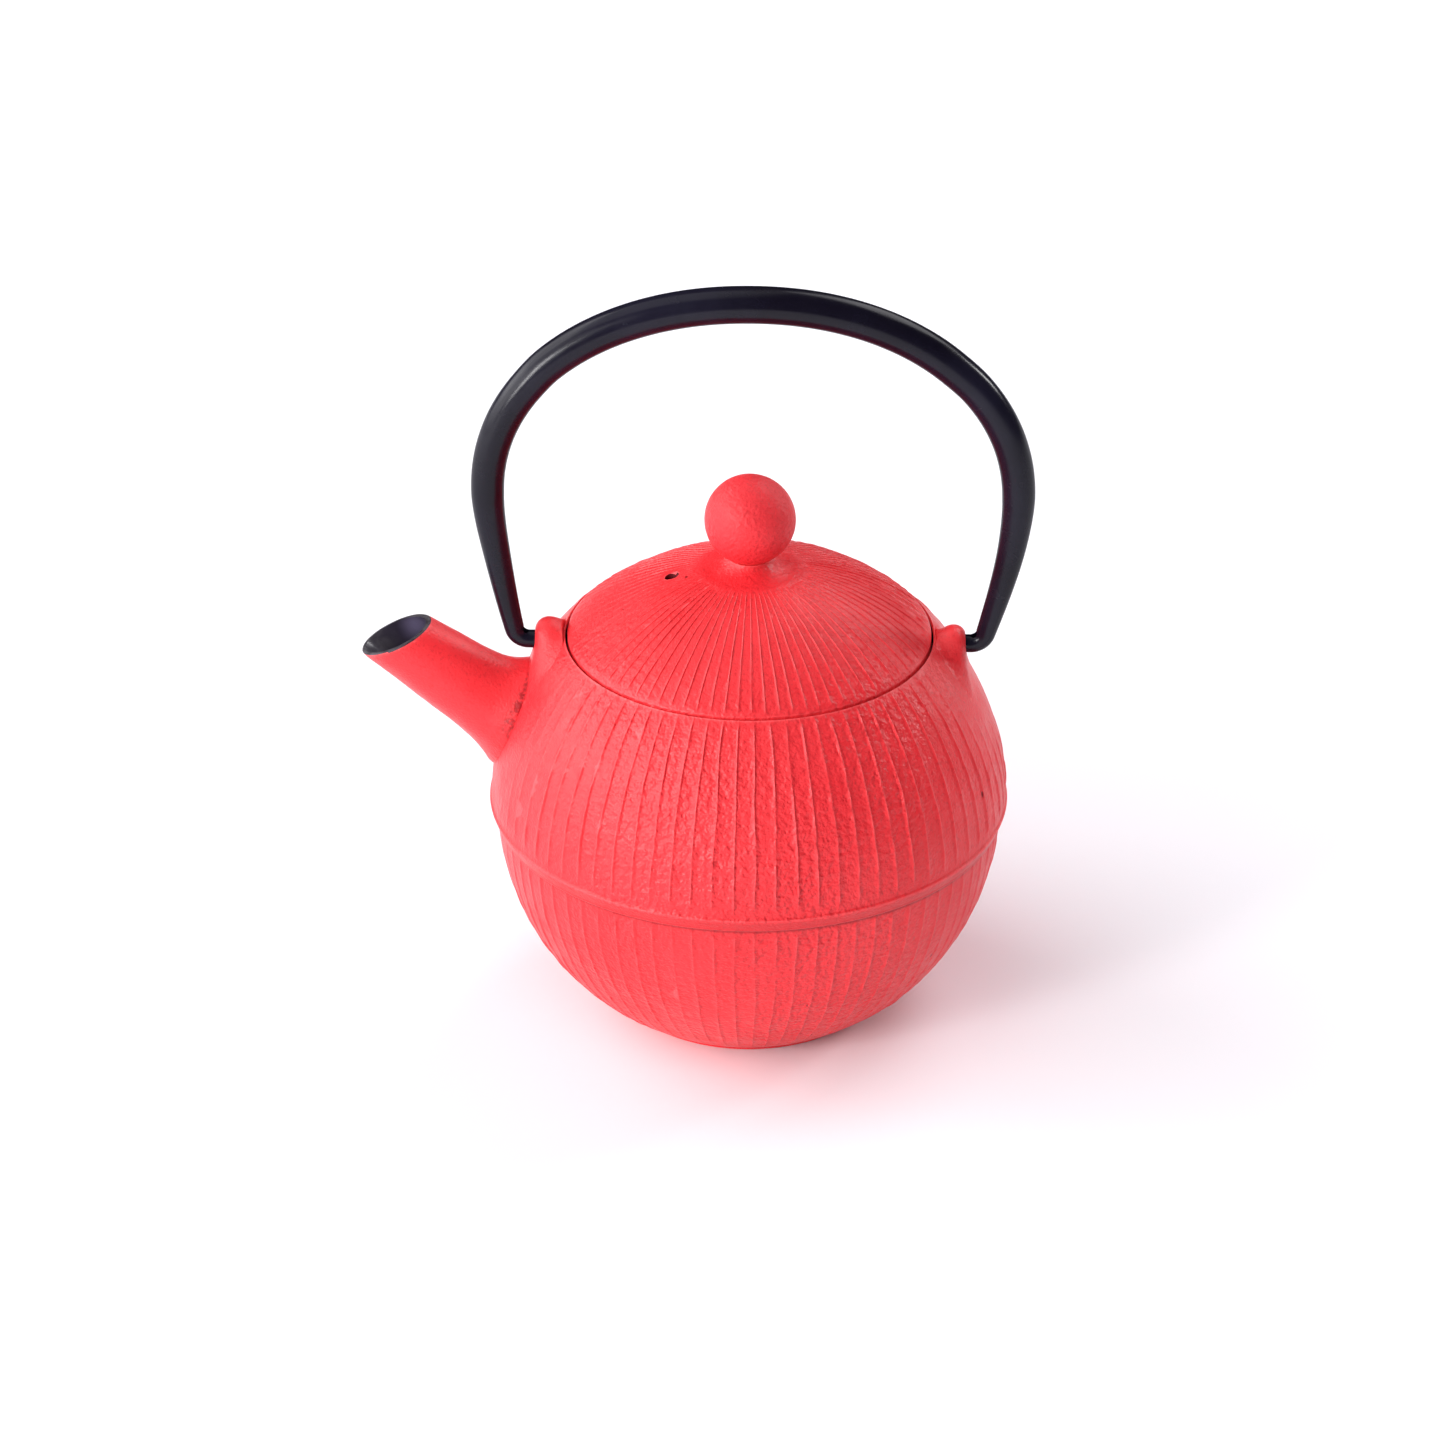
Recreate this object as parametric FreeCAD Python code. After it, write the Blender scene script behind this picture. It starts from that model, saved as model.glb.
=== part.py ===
import FreeCAD, Part
import math
import os

from FreeCAD import Vector

# Round cast iron teapot with a lift-out strainer and a swinging bail handle.
#
# Units are millimetres.  +Z is up and the table is z = 0.  The origin is the centre of the
# foot.  The spout points along -X, and the two handle lugs lie on the X axis as well, so the
# bail swings about an axis parallel to X.  Each sub-part is written to parts/NAME.step.

# ---- pot shell ---------------------------------------------------------------------------
EQUATOR_Z = 48.2            # height of the widest line of the pot above the table
UPPER_RADIUS = 56.0         # ball radius above the belt, centred on the equator
LOWER_RADIUS = 54.8         # ball radius below the belt
LOWER_DROP = 0.7            # the lower ball's centre lies this far below the equator
BELT_TOP = 1.05             # top edge of the raised belt, above the equator
BELT_BOTTOM = -2.0          # bottom edge of the raised belt, below the equator
BELT_TOP_RADIUS = 56.36
BELT_BOTTOM_RADIUS = 55.2
CAVITY_RADIUS = 52.6        # enamelled inside of the pot
CAVITY_DROP = 0.4
FLOOR_THICKNESS = 3.0
FOOT_RADIUS = 28.3
FOOT_HEIGHT = 1.2
FOOT_RING_WIDTH = 3.8
FOOT_RECESS = 1.8           # hollow under the pot, inside the foot ring

# ---- mouth of the pot --------------------------------------------------------------------
MOUTH_RADIUS = 39.45        # the lid drops into this bore
LEDGE_Z = EQUATOR_Z + 36.4  # shelf that carries the strainer and the lid
LEDGE_BORE = 33.5
LEDGE_THICKNESS = 2.5
LEDGE_HAUNCH = 1.5          # the ledge thickens by this much towards the wall

# ---- spout -------------------------------------------------------------------------------
SPOUT_TIP = Vector(-76.25, 0, EQUATOR_Z + 38.0)   # centre of the spout's mouth
SPOUT_RISE = math.radians(36)                     # slope of the spout's axis
SPOUT_CUT = math.radians(25.6)                    # slope of the plane that cuts the mouth
SPOUT_TIP_RADIUS = 7.2
SPOUT_TAPER = 0.073                               # radius gained per millimetre of length
SPOUT_WALL = 1.25
SPOUT_LENGTH = 40.0
SPOUT_FILLET = 5.0
SPOUT_PAST_TIP = 12.0                             # length of cone that the mouth's plane cuts off

# ---- lugs and bail hooks -----------------------------------------------------------------
PIVOT_Z = EQUATOR_Z + 37.5
LUG_FACE_X = 46.5
LUG_TOP_RADIUS = 4.6
LUG_FOOT_HALF_WIDTH = 6.8
LUG_FOOT_Z = EQUATOR_Z + 26.0
LUG_TOP_Z = EQUATOR_Z + 42.3
LUG_EDGE_RADIUS = 1.6
LUG_ROOT_X = 33.0           # the lug's casting starts inside the mouth's bore
LUG_SHOULDER = [            # (x, z) of the lug's inner slope, from its top down to the wall
    (LUG_FACE_X - 2.2, LUG_TOP_Z + 0.2),
    (MOUTH_RADIUS + 1.6, LUG_TOP_Z - 1.2),
    (MOUTH_RADIUS + 0.4, LUG_TOP_Z - 3.4),
    (LUG_ROOT_X, LUG_FOOT_Z),
]
LUG_HOLE_RADIUS = 2.4
LUG_HOLE_INNER_X = 41.3
HOOK_RADIUS = 1.95
HOOK_END_X = 41.9
HOOK_STANDOFF = 0.8         # straight length of hook outside the lug

# ---- bail handle -------------------------------------------------------------------------
BAIL_HALF_WIDTH = 56.1      # centre line at the shoulders
BAIL_SHOULDER_Z = EQUATOR_Z + 72.0
BAIL_RISE = 44.0            # centre line, shoulders to crown
BAIL_ROUNDNESS = 2.1        # exponent of the arch: 2 is a plain ellipse
BAIL_LEG_SLOPE = math.radians(14.4)
BAIL_BEND_RADIUS = 3.3
BAIL_CROWN_TUBE_RADIUS = 3.95
BAIL_SHOULDER_TUBE_RADIUS = 3.5
BAIL_ANKLE_TUBE_RADIUS = 2.1
BAIL_SHEET = 0.8
BAIL_SEAM_WIDTH = 0.5
SHOULDER_PULL = 0.75        # how firmly the leg's curve is drawn upright at the shoulder
BEND_STATIONS = 6           # sections lofted through each bend, leg and half arch
LEG_STATIONS = 5
ARCH_STATIONS = 10

# ---- lid ---------------------------------------------------------------------------------
LID_RADIUS = 39.0
LID_THICKNESS = 3.0
LID_RIM_Z = EQUATOR_Z + 37.1          # flat face that rests on the strainer's rim
LID_FLANGE_OUTER = 31.3
LID_FLANGE_INNER = 28.8
LID_FLANGE_BOTTOM = EQUATOR_Z + 32.8
NECK_RADIUS = 4.6
NECK_FOOT_RADIUS = 10.5
NECK_FLARE = 1.7                      # the neck's curve bulges this far beyond its top
NECK_FLARE_HEIGHT = 0.36              # share of the neck's height at which it does so
NECK_SCREW_HOLE = 2.8
PAD_RADIUS = 6.5                      # flat pad under the dome for the washer
PAD_Z = EQUATOR_Z + 52.0
STEAM_HOLE_RADIUS = 1.1
STEAM_HOLE_OFFSET = 16.8

# ---- knob and its fixing -----------------------------------------------------------------
KNOB_RADIUS = 9.75
KNOB_Z = EQUATOR_Z + 66.5
KNOB_SEAT_GAP = 0.03
SCREW_RADIUS = 2.5
SCREW_HEAD_RADIUS = 4.3
SCREW_HEAD_HEIGHT = 2.6
SCREW_SLOT_WIDTH = 1.1
SCREW_SLOT_DEPTH = 1.2
SCREW_TIP_Z = KNOB_Z + 0.5
TAPPED_HOLE_RADIUS = 2.52
TAPPED_HOLE_TOP = KNOB_Z + 1.5
WASHER_RADIUS = 5.2
WASHER_HOLE = 2.7
WASHER_THICKNESS = 1.0

# ---- strainer ----------------------------------------------------------------------------
STRAINER_RIM_RADIUS = 38.6
STRAINER_SHEET = 0.5
STRAINER_RADIUS = 33.0                # outside of the collar and of the bottom ring
RIM_THICKNESS = 0.6
RIM_CURL_WIDTH = 1.0
RIM_CURL_HEIGHT = 0.4
COLLAR_DEPTH = 7.0
GAUZE_THICKNESS = 0.3
GAUZE_OVERLAP = 3.0                   # length of gauze held inside the collar
STRAINER_BOTTOM_Z = EQUATOR_Z - 9.5
BOTTOM_RING_HEIGHT = 5.5
BOTTOM_RING_BORE = 29.5
GAUZE_CLEARANCE = 0.05

UP = Vector(0, 0, 1)
ALONG_X = Vector(1, 0, 0)
ALONG_Y = Vector(0, 1, 0)


def line(start, end):
    return Part.makeLine(start, end)


def arc(start, middle, end):
    return Part.Arc(start, middle, end).toShape()


def profile_point(radius, z):
    """A point of a turned outline, in the XZ half plane."""
    return Vector(radius, 0, z)


def ball_point(radius, centre_z, z):
    """The point of a ball's outline at height z."""
    return profile_point(math.sqrt(radius ** 2 - (z - centre_z) ** 2), z)


def ball_arc(radius, centre_z, z_start, z_end):
    """The stretch of a ball's outline between two heights."""
    return arc(
        ball_point(radius, centre_z, z_start),
        ball_point(radius, centre_z, (z_start + z_end) / 2),
        ball_point(radius, centre_z, z_end),
    )


def path_through(points):
    """Straight edges from point to point, in order."""
    return [line(a, b) for a, b in zip(points[:-1], points[1:])]


def facing_out(solid):
    """The same solid with its faces turned outwards."""
    if solid.Volume < 0:
        solid.reverse()
    return solid


def turned(edges):
    """Solid of revolution about Z from a closed chain of edges."""
    face = Part.Face(Part.Wire(edges))
    return facing_out(face.revolve(Vector(0, 0, 0), UP, 360))


def turned_polygon(corners):
    """Solid of revolution from a closed polygon of (radius, z) pairs."""
    points = [profile_point(radius, z) for radius, z in corners]
    return turned(path_through(points + points[:1]))


def largest_solid(shape):
    return max(shape.Solids, key=lambda solid: solid.Volume)


def one_solid(shape):
    """The single solid that a boolean operation left, without split faces."""
    return largest_solid(shape.removeSplitter())


# ---- pot body ----------------------------------------------------------------------------
def outer_ball():
    """Outside of the pot: foot ring, lower ball, belt and upper ball, solid inside."""
    lower_centre = EQUATOR_Z - LOWER_DROP
    crown_z = EQUATOR_Z + math.sqrt(UPPER_RADIUS ** 2 - MOUTH_RADIUS ** 2)
    belt_low = EQUATOR_Z + BELT_BOTTOM
    belt_high = EQUATOR_Z + BELT_TOP
    foot_top = ball_point(LOWER_RADIUS, lower_centre, FOOT_HEIGHT)
    under_belt = ball_point(LOWER_RADIUS, lower_centre, belt_low)
    over_belt = ball_point(UPPER_RADIUS, EQUATOR_Z, belt_high)
    crown = profile_point(MOUTH_RADIUS, crown_z)
    recess_radius = FOOT_RADIUS - FOOT_RING_WIDTH
    edges = path_through([
        profile_point(0, crown_z),
        profile_point(0, FOOT_RECESS),
        profile_point(recess_radius - FOOT_RECESS, FOOT_RECESS),
        profile_point(recess_radius, 0),
        profile_point(FOOT_RADIUS, 0),
        profile_point(FOOT_RADIUS, FOOT_HEIGHT),
        foot_top,
    ])
    edges.append(ball_arc(LOWER_RADIUS, lower_centre, FOOT_HEIGHT, belt_low))
    edges += path_through([
        under_belt,
        profile_point(BELT_BOTTOM_RADIUS, belt_low),
        profile_point(BELT_TOP_RADIUS, belt_high),
        over_belt,
    ])
    edges.append(ball_arc(UPPER_RADIUS, EQUATOR_Z, belt_high, crown_z))
    edges.append(line(crown, profile_point(0, crown_z)))
    return turned(edges)


def cavity():
    """Space inside the pot, up through the ledge bore and the lid's bore."""
    centre_z = EQUATOR_Z - CAVITY_DROP
    floor_z = FOOT_RECESS + FLOOR_THICKNESS
    ledge_root_z = LEDGE_Z - LEDGE_THICKNESS - LEDGE_HAUNCH
    above = EQUATOR_Z + UPPER_RADIUS
    edges = path_through([
        profile_point(0, above),
        profile_point(0, floor_z),
        ball_point(CAVITY_RADIUS, centre_z, floor_z),
    ])
    edges.append(ball_arc(CAVITY_RADIUS, centre_z, floor_z, ledge_root_z))
    edges += path_through([
        ball_point(CAVITY_RADIUS, centre_z, ledge_root_z),
        profile_point(LEDGE_BORE, LEDGE_Z - LEDGE_THICKNESS),
        profile_point(LEDGE_BORE, LEDGE_Z),
        profile_point(MOUTH_RADIUS, LEDGE_Z),
        profile_point(MOUTH_RADIUS, above),
        profile_point(0, above),
    ])
    return turned(edges)


def spout_direction():
    """Unit vector along the spout, from the pot towards the mouth."""
    return Vector(-math.cos(SPOUT_RISE), 0, math.sin(SPOUT_RISE))


def spout_cone(wall, length):
    """Tapered bar on the spout's axis, reaching past the mouth's cutting plane."""
    tip_radius = SPOUT_TIP_RADIUS - wall - SPOUT_TAPER * SPOUT_PAST_TIP
    root_radius = SPOUT_TIP_RADIUS - wall + SPOUT_TAPER * length
    start = SPOUT_TIP + spout_direction() * SPOUT_PAST_TIP
    inwards = spout_direction() * -1
    return Part.makeCone(tip_radius, root_radius, SPOUT_PAST_TIP + length, start, inwards)


def above_spout_mouth():
    """Block on the outer side of the plane that cuts the spout's mouth."""
    size = UPPER_RADIUS
    block = Part.makeBox(size, size, size, Vector(-size / 2, -size / 2, 0))
    block.rotate(Vector(0, 0, 0), ALONG_Y, -math.degrees(SPOUT_CUT))
    block.translate(SPOUT_TIP)
    return block


def spout_joint_edges(shape):
    """Edges where the spout meets the ball: they lie on the ball, around the spout's axis."""
    centre = Vector(0, 0, EQUATOR_Z)
    samples = 9
    tolerance = 0.05
    reach = 2 * SPOUT_TIP_RADIUS
    found = []
    for edge in shape.Edges:
        points = edge.discretize(samples)
        on_ball = all(abs((point - centre).Length - UPPER_RADIUS) < tolerance for point in points)
        at_spout = all(point.x < 0 and abs(point.y) < reach for point in points)
        if on_ball and at_spout:
            found.append(edge)
    return found


def tongue_outline(x):
    """Rounded tongue in the plane at x: a top arc, and two sides that touch it smoothly and
    spread towards the foot."""
    centre_z = LUG_TOP_Z - LUG_TOP_RADIUS
    drop = centre_z - LUG_FOOT_Z
    reach = math.hypot(LUG_FOOT_HALF_WIDTH, drop)
    touch = math.acos(LUG_TOP_RADIUS / reach) - math.atan2(drop, LUG_FOOT_HALF_WIDTH)
    side_y = LUG_TOP_RADIUS * math.cos(touch)
    side_z = centre_z + LUG_TOP_RADIUS * math.sin(touch)
    left, right = Vector(x, -side_y, side_z), Vector(x, side_y, side_z)
    edges = [arc(left, Vector(x, 0, LUG_TOP_Z), right)]
    edges += path_through([
        right,
        Vector(x, LUG_FOOT_HALF_WIDTH, LUG_FOOT_Z),
        Vector(x, -LUG_FOOT_HALF_WIDTH, LUG_FOOT_Z),
        left,
    ])
    return Part.Face(Part.Wire(edges))


def lug(side):
    """Handle lug: a tongue seen along X, with a rounded top, a flat outer face with a rounded
    edge, and a sloping inner shoulder.  side is -1 over the spout and +1 opposite to it."""
    beyond = 1.0
    half_depth = LUG_FOOT_HALF_WIDTH + beyond
    tongue = tongue_outline(LUG_ROOT_X).extrude(ALONG_X * (LUG_FACE_X - LUG_ROOT_X))
    face_edges = [
        edge for edge in tongue.Edges
        if all(abs(corner.X - LUG_FACE_X) < 0.01 for corner in edge.Vertexes)
    ]
    rim = [edge for edge in face_edges if edge.CenterOfMass.z > LUG_FOOT_Z + beyond]
    tongue = tongue.makeFillet(LUG_EDGE_RADIUS, rim)
    clear_of_lug = [
        (LUG_ROOT_X - beyond, LUG_TOP_Z + beyond),
        (LUG_SHOULDER[0][0], LUG_TOP_Z + beyond),
        LUG_SHOULDER[0],
    ]
    corners = [Vector(x, -half_depth, z) for x, z in LUG_SHOULDER + clear_of_lug]
    above_shoulder = Part.Face(Part.Wire(path_through(corners)))
    waste = above_shoulder.extrude(ALONG_Y * (2 * half_depth))
    solid = one_solid(tongue.cut(waste))
    if side < 0:
        solid = solid.mirror(Vector(0, 0, 0), ALONG_X)
    return solid


def lug_hole(side):
    """Blind hole for the bail's hook."""
    start = Vector(side * LUG_HOLE_INNER_X, 0, PIVOT_Z)
    length = 2 * (LUG_FACE_X - LUG_HOLE_INNER_X)
    return Part.makeCylinder(LUG_HOLE_RADIUS, length, start, ALONG_X * side)


def pot_body():
    shell = outer_ball().fuse(spout_cone(0, SPOUT_LENGTH)).cut(above_spout_mouth())
    shell = one_solid(shell)
    shell = shell.makeFillet(SPOUT_FILLET, spout_joint_edges(shell))
    for side in (-1, 1):
        shell = shell.fuse(lug(side))
    shell = one_solid(shell).cut(cavity())
    shell = shell.cut(spout_cone(SPOUT_WALL, SPOUT_LENGTH))
    for side in (-1, 1):
        shell = shell.cut(lug_hole(side))
    return one_solid(shell)


# ---- lid and knob ------------------------------------------------------------------------
def lid_casting():
    """Domed lid that carries on the ball's curve, with a flared neck and a locating flange."""
    inner_radius = UPPER_RADIUS - LID_THICKNESS
    edge_z = EQUATOR_Z + math.sqrt(UPPER_RADIUS ** 2 - LID_RADIUS ** 2)
    neck_foot = profile_point(
        NECK_FOOT_RADIUS, EQUATOR_Z + math.sqrt(UPPER_RADIUS ** 2 - NECK_FOOT_RADIUS ** 2)
    )
    seat_radius = KNOB_RADIUS + KNOB_SEAT_GAP
    neck_top = profile_point(NECK_RADIUS, KNOB_Z - math.sqrt(seat_radius ** 2 - NECK_RADIUS ** 2))
    flare_z = neck_foot.z + (neck_top.z - neck_foot.z) * NECK_FLARE_HEIGHT
    neck_middle = profile_point(NECK_RADIUS + NECK_FLARE, flare_z)
    seat_inner = profile_point(
        NECK_SCREW_HOLE, KNOB_Z - math.sqrt(seat_radius ** 2 - NECK_SCREW_HOLE ** 2)
    )
    seat_middle_radius = (NECK_SCREW_HOLE + NECK_RADIUS) / 2
    seat_middle = profile_point(
        seat_middle_radius, KNOB_Z - math.sqrt(seat_radius ** 2 - seat_middle_radius ** 2)
    )
    dome_middle_radius = (NECK_FOOT_RADIUS + LID_RADIUS) / 2
    dome_middle = profile_point(
        dome_middle_radius, EQUATOR_Z + math.sqrt(UPPER_RADIUS ** 2 - dome_middle_radius ** 2)
    )
    inner_root_z = EQUATOR_Z + math.sqrt(inner_radius ** 2 - LID_FLANGE_INNER ** 2)
    pad_root_z = EQUATOR_Z + math.sqrt(inner_radius ** 2 - PAD_RADIUS ** 2)
    edges = [
        arc(seat_inner, seat_middle, neck_top),
        arc(neck_top, neck_middle, neck_foot),
        arc(neck_foot, dome_middle, profile_point(LID_RADIUS, edge_z)),
    ]
    edges += path_through([
        profile_point(LID_RADIUS, edge_z),
        profile_point(LID_RADIUS, LID_RIM_Z),
        profile_point(LID_FLANGE_OUTER, LID_RIM_Z),
        profile_point(LID_FLANGE_OUTER, LID_FLANGE_BOTTOM),
        profile_point(LID_FLANGE_INNER, LID_FLANGE_BOTTOM),
        profile_point(LID_FLANGE_INNER, inner_root_z),
    ])
    edges.append(ball_arc(inner_radius, EQUATOR_Z, inner_root_z, pad_root_z))
    edges += path_through([
        profile_point(PAD_RADIUS, pad_root_z),
        profile_point(PAD_RADIUS, PAD_Z),
        profile_point(NECK_SCREW_HOLE, PAD_Z),
        seat_inner,
    ])
    steam_hole = Part.makeCylinder(
        STEAM_HOLE_RADIUS, UPPER_RADIUS, Vector(-STEAM_HOLE_OFFSET, 0, EQUATOR_Z), UP
    )
    return one_solid(turned(edges).cut(steam_hole))


def lid_knob():
    """Turned ball with a blind tapped hole underneath."""
    ball = Part.makeSphere(KNOB_RADIUS, Vector(0, 0, KNOB_Z))
    bottom_z = KNOB_Z - KNOB_RADIUS
    hole = Part.makeCylinder(
        TAPPED_HOLE_RADIUS, TAPPED_HOLE_TOP - bottom_z, Vector(0, 0, bottom_z), UP
    )
    return one_solid(ball.cut(hole))


def knob_washer():
    bottom_z = PAD_Z - WASHER_THICKNESS
    return turned_polygon([
        (WASHER_HOLE, bottom_z),
        (WASHER_RADIUS, bottom_z),
        (WASHER_RADIUS, PAD_Z),
        (WASHER_HOLE, PAD_Z),
    ])


def knob_screw():
    """Slotted pan-head screw that comes up through the washer and the lid into the knob."""
    seat_z = PAD_Z - WASHER_THICKNESS
    head_z = seat_z - SCREW_HEAD_HEIGHT
    tip_chamfer = 0.6
    screw = turned_polygon([
        (0, head_z),
        (SCREW_HEAD_RADIUS - tip_chamfer, head_z),
        (SCREW_HEAD_RADIUS, head_z + tip_chamfer),
        (SCREW_HEAD_RADIUS, seat_z),
        (SCREW_RADIUS, seat_z),
        (SCREW_RADIUS, SCREW_TIP_Z - tip_chamfer),
        (SCREW_RADIUS - tip_chamfer, SCREW_TIP_Z),
        (0, SCREW_TIP_Z),
    ])
    slot = Part.makeBox(
        2 * SCREW_HEAD_RADIUS,
        SCREW_SLOT_WIDTH,
        SCREW_SLOT_DEPTH,
        Vector(-SCREW_HEAD_RADIUS, -SCREW_SLOT_WIDTH / 2, head_z),
    )
    return one_solid(screw.cut(slot))


# ---- strainer ----------------------------------------------------------------------------
def strainer_collar():
    """Pressed ring: a flat rim with a curled edge, which lies on the ledge, and a short wall."""
    rim_top = LEDGE_Z + RIM_THICKNESS
    curl_inner = STRAINER_RIM_RADIUS - RIM_CURL_WIDTH
    bottom_z = rim_top - COLLAR_DEPTH
    inner = STRAINER_RADIUS - STRAINER_SHEET
    return turned_polygon([
        (inner, bottom_z),
        (STRAINER_RADIUS, bottom_z),
        (STRAINER_RADIUS, LEDGE_Z),
        (STRAINER_RIM_RADIUS, LEDGE_Z),
        (STRAINER_RIM_RADIUS, rim_top - RIM_CURL_HEIGHT / 2),
        (curl_inner, rim_top),
        (inner, rim_top),
    ])


def gauze_outer_radius():
    return STRAINER_RADIUS - STRAINER_SHEET


def strainer_gauze_wall():
    """Cylinder of woven wire, held between the collar and the bottom ring."""
    top_z = LEDGE_Z + RIM_THICKNESS - COLLAR_DEPTH + GAUZE_OVERLAP
    bottom_z = STRAINER_BOTTOM_Z + STRAINER_SHEET + GAUZE_THICKNESS + GAUZE_CLEARANCE
    outer = gauze_outer_radius()
    return turned_polygon([
        (outer - GAUZE_THICKNESS, bottom_z),
        (outer, bottom_z),
        (outer, top_z),
        (outer - GAUZE_THICKNESS, top_z),
    ])


def strainer_gauze_floor():
    """Disc of woven wire that lies on the bottom ring's lip."""
    bottom_z = STRAINER_BOTTOM_Z + STRAINER_SHEET
    return Part.makeCylinder(gauze_outer_radius(), GAUZE_THICKNESS, Vector(0, 0, bottom_z), UP)


def strainer_bottom_ring():
    """Pressed ring of L section that clamps both pieces of gauze."""
    inner = gauze_outer_radius()
    return turned_polygon([
        (BOTTOM_RING_BORE, STRAINER_BOTTOM_Z),
        (STRAINER_RADIUS, STRAINER_BOTTOM_Z),
        (STRAINER_RADIUS, STRAINER_BOTTOM_Z + BOTTOM_RING_HEIGHT),
        (inner, STRAINER_BOTTOM_Z + BOTTOM_RING_HEIGHT),
        (inner, STRAINER_BOTTOM_Z + STRAINER_SHEET),
        (BOTTOM_RING_BORE, STRAINER_BOTTOM_Z + STRAINER_SHEET),
    ])


# ---- bail handle -------------------------------------------------------------------------
def leg_corner():
    """Point where the straight leg and the hook's axis would cross."""
    return Vector(bend_end_x() + bend_tangent(), 0, PIVOT_Z)


def bend_tangent():
    """Length from the bend's corner to either end of the bend."""
    turn = math.pi / 2 - BAIL_LEG_SLOPE
    return BAIL_BEND_RADIUS * math.tan(turn / 2)


def bend_end_x():
    """Where the hook's straight pin begins, just outside the lug."""
    return LUG_FACE_X + HOOK_STANDOFF


def leg_foot():
    """Where the leg ends and the bend begins."""
    out = Vector(math.sin(BAIL_LEG_SLOPE), 0, math.cos(BAIL_LEG_SLOPE))
    return leg_corner() + out * bend_tangent()


def bend_stations(count):
    """Centre points and directions along the bend, from the pin up to the leg."""
    centre = Vector(bend_end_x(), 0, PIVOT_Z + BAIL_BEND_RADIUS)
    turn = math.pi / 2 - BAIL_LEG_SLOPE
    stations = []
    for step in range(count):
        angle = turn * step / (count - 1)
        place = centre + Vector(math.sin(angle), 0, -math.cos(angle)) * BAIL_BEND_RADIUS
        direction = Vector(math.cos(angle), 0, math.sin(angle))
        stations.append((place, direction))
    return stations


def leg_stations(count):
    """Centre points and directions up the leg: a cubic curve that starts along the bend's
    slope and ends upright at the shoulder."""
    foot = leg_foot()
    shoulder = Vector(BAIL_HALF_WIDTH, 0, BAIL_SHOULDER_Z)
    reach = (shoulder.z - foot.z) / 3
    first = foot + Vector(math.sin(BAIL_LEG_SLOPE), 0, math.cos(BAIL_LEG_SLOPE)) * reach
    second = shoulder - UP * (SHOULDER_PULL * reach)
    stations = []
    for step in range(1, count + 1):
        t = step / (count + 1)
        u = 1 - t
        near_foot = foot * u ** 3 + first * (3 * u * u * t)
        near_shoulder = second * (3 * u * t * t) + shoulder * t ** 3
        place = near_foot + near_shoulder
        direction = (first - foot) * (u * u) + (second - first) * (2 * u * t)
        direction += (shoulder - second) * (t * t)
        stations.append((place, direction.normalize()))
    return stations


def arch_point(angle):
    """Point on the arch: a superellipse from the shoulder (0) over the crown (pi/2)."""
    power = 2 / BAIL_ROUNDNESS
    across = math.copysign(abs(math.cos(angle)) ** power, math.cos(angle))
    return Vector(BAIL_HALF_WIDTH * across, 0, BAIL_SHOULDER_Z + BAIL_RISE * math.sin(angle) ** power)


def arch_stations(count):
    """Centre points and directions over half of the arch, shoulder to crown."""
    small = 1e-3
    stations = [(arch_point(0), UP)]
    for step in range(1, count):
        angle = math.pi / 2 * step / (count - 1)
        direction = (arch_point(angle + small) - arch_point(angle - small)).normalize()
        stations.append((arch_point(angle), direction))
    return stations


def half_bail_stations():
    """(centre, direction, tube radius) from the right-hand pin to the crown."""
    bend = bend_stations(BEND_STATIONS)
    leg = leg_stations(LEG_STATIONS)
    arch = arch_stations(ARCH_STATIONS)
    stations = [(place, way, bend_radius_at(place)) for place, way in bend]
    stations += [(place, way, leg_radius_at(place.z)) for place, way in leg]
    stations += [(place, way, arch_radius_at(place.z)) for place, way in arch]
    return stations


def bend_radius_at(place):
    share = (place.z - PIVOT_Z) / (leg_foot().z - PIVOT_Z)
    return HOOK_RADIUS + (BAIL_ANKLE_TUBE_RADIUS - HOOK_RADIUS) * share


def leg_radius_at(z):
    share = (z - leg_foot().z) / (BAIL_SHOULDER_Z - leg_foot().z)
    return BAIL_ANKLE_TUBE_RADIUS + (BAIL_SHOULDER_TUBE_RADIUS - BAIL_ANKLE_TUBE_RADIUS) * share


def arch_radius_at(z):
    share = (z - BAIL_SHOULDER_Z) / BAIL_RISE
    return BAIL_SHOULDER_TUBE_RADIUS + (BAIL_CROWN_TUBE_RADIUS - BAIL_SHOULDER_TUBE_RADIUS) * share


def whole_bail_stations():
    """Stations from the right-hand pin, over the crown, to the left-hand pin."""
    half = half_bail_stations()
    mirrored = [
        (Vector(-place.x, 0, place.z), Vector(way.x, 0, -way.z), radius)
        for place, way, radius in reversed(half[:-1])
    ]
    return half + mirrored


def across_bail(section, place, way):
    """Turn a section drawn around the X axis, with the bail's inner side up, to lie across
    the bail at place."""
    section.rotate(Vector(0, 0, 0), ALONG_Y, -math.degrees(math.atan2(way.z, way.x)))
    section.translate(place)
    return section


def rod_section(radius):
    return Part.Wire(Part.makeCircle(radius, Vector(0, 0, 0), ALONG_X))


def seam_lip(radius, side):
    """Point of the rolled sheet at the seam, on a circle of the given radius."""
    half = BAIL_SEAM_WIDTH / 2
    return Vector(0, side * half, math.sqrt(radius ** 2 - half ** 2))


def sheet_side(radius, side):
    """Half of the rolled sheet's outline at one radius, from the seam to the outer side."""
    lip = seam_lip(radius, side)
    return arc(lip, Vector(0, side * radius, 0), Vector(0, 0, -radius))


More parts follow.
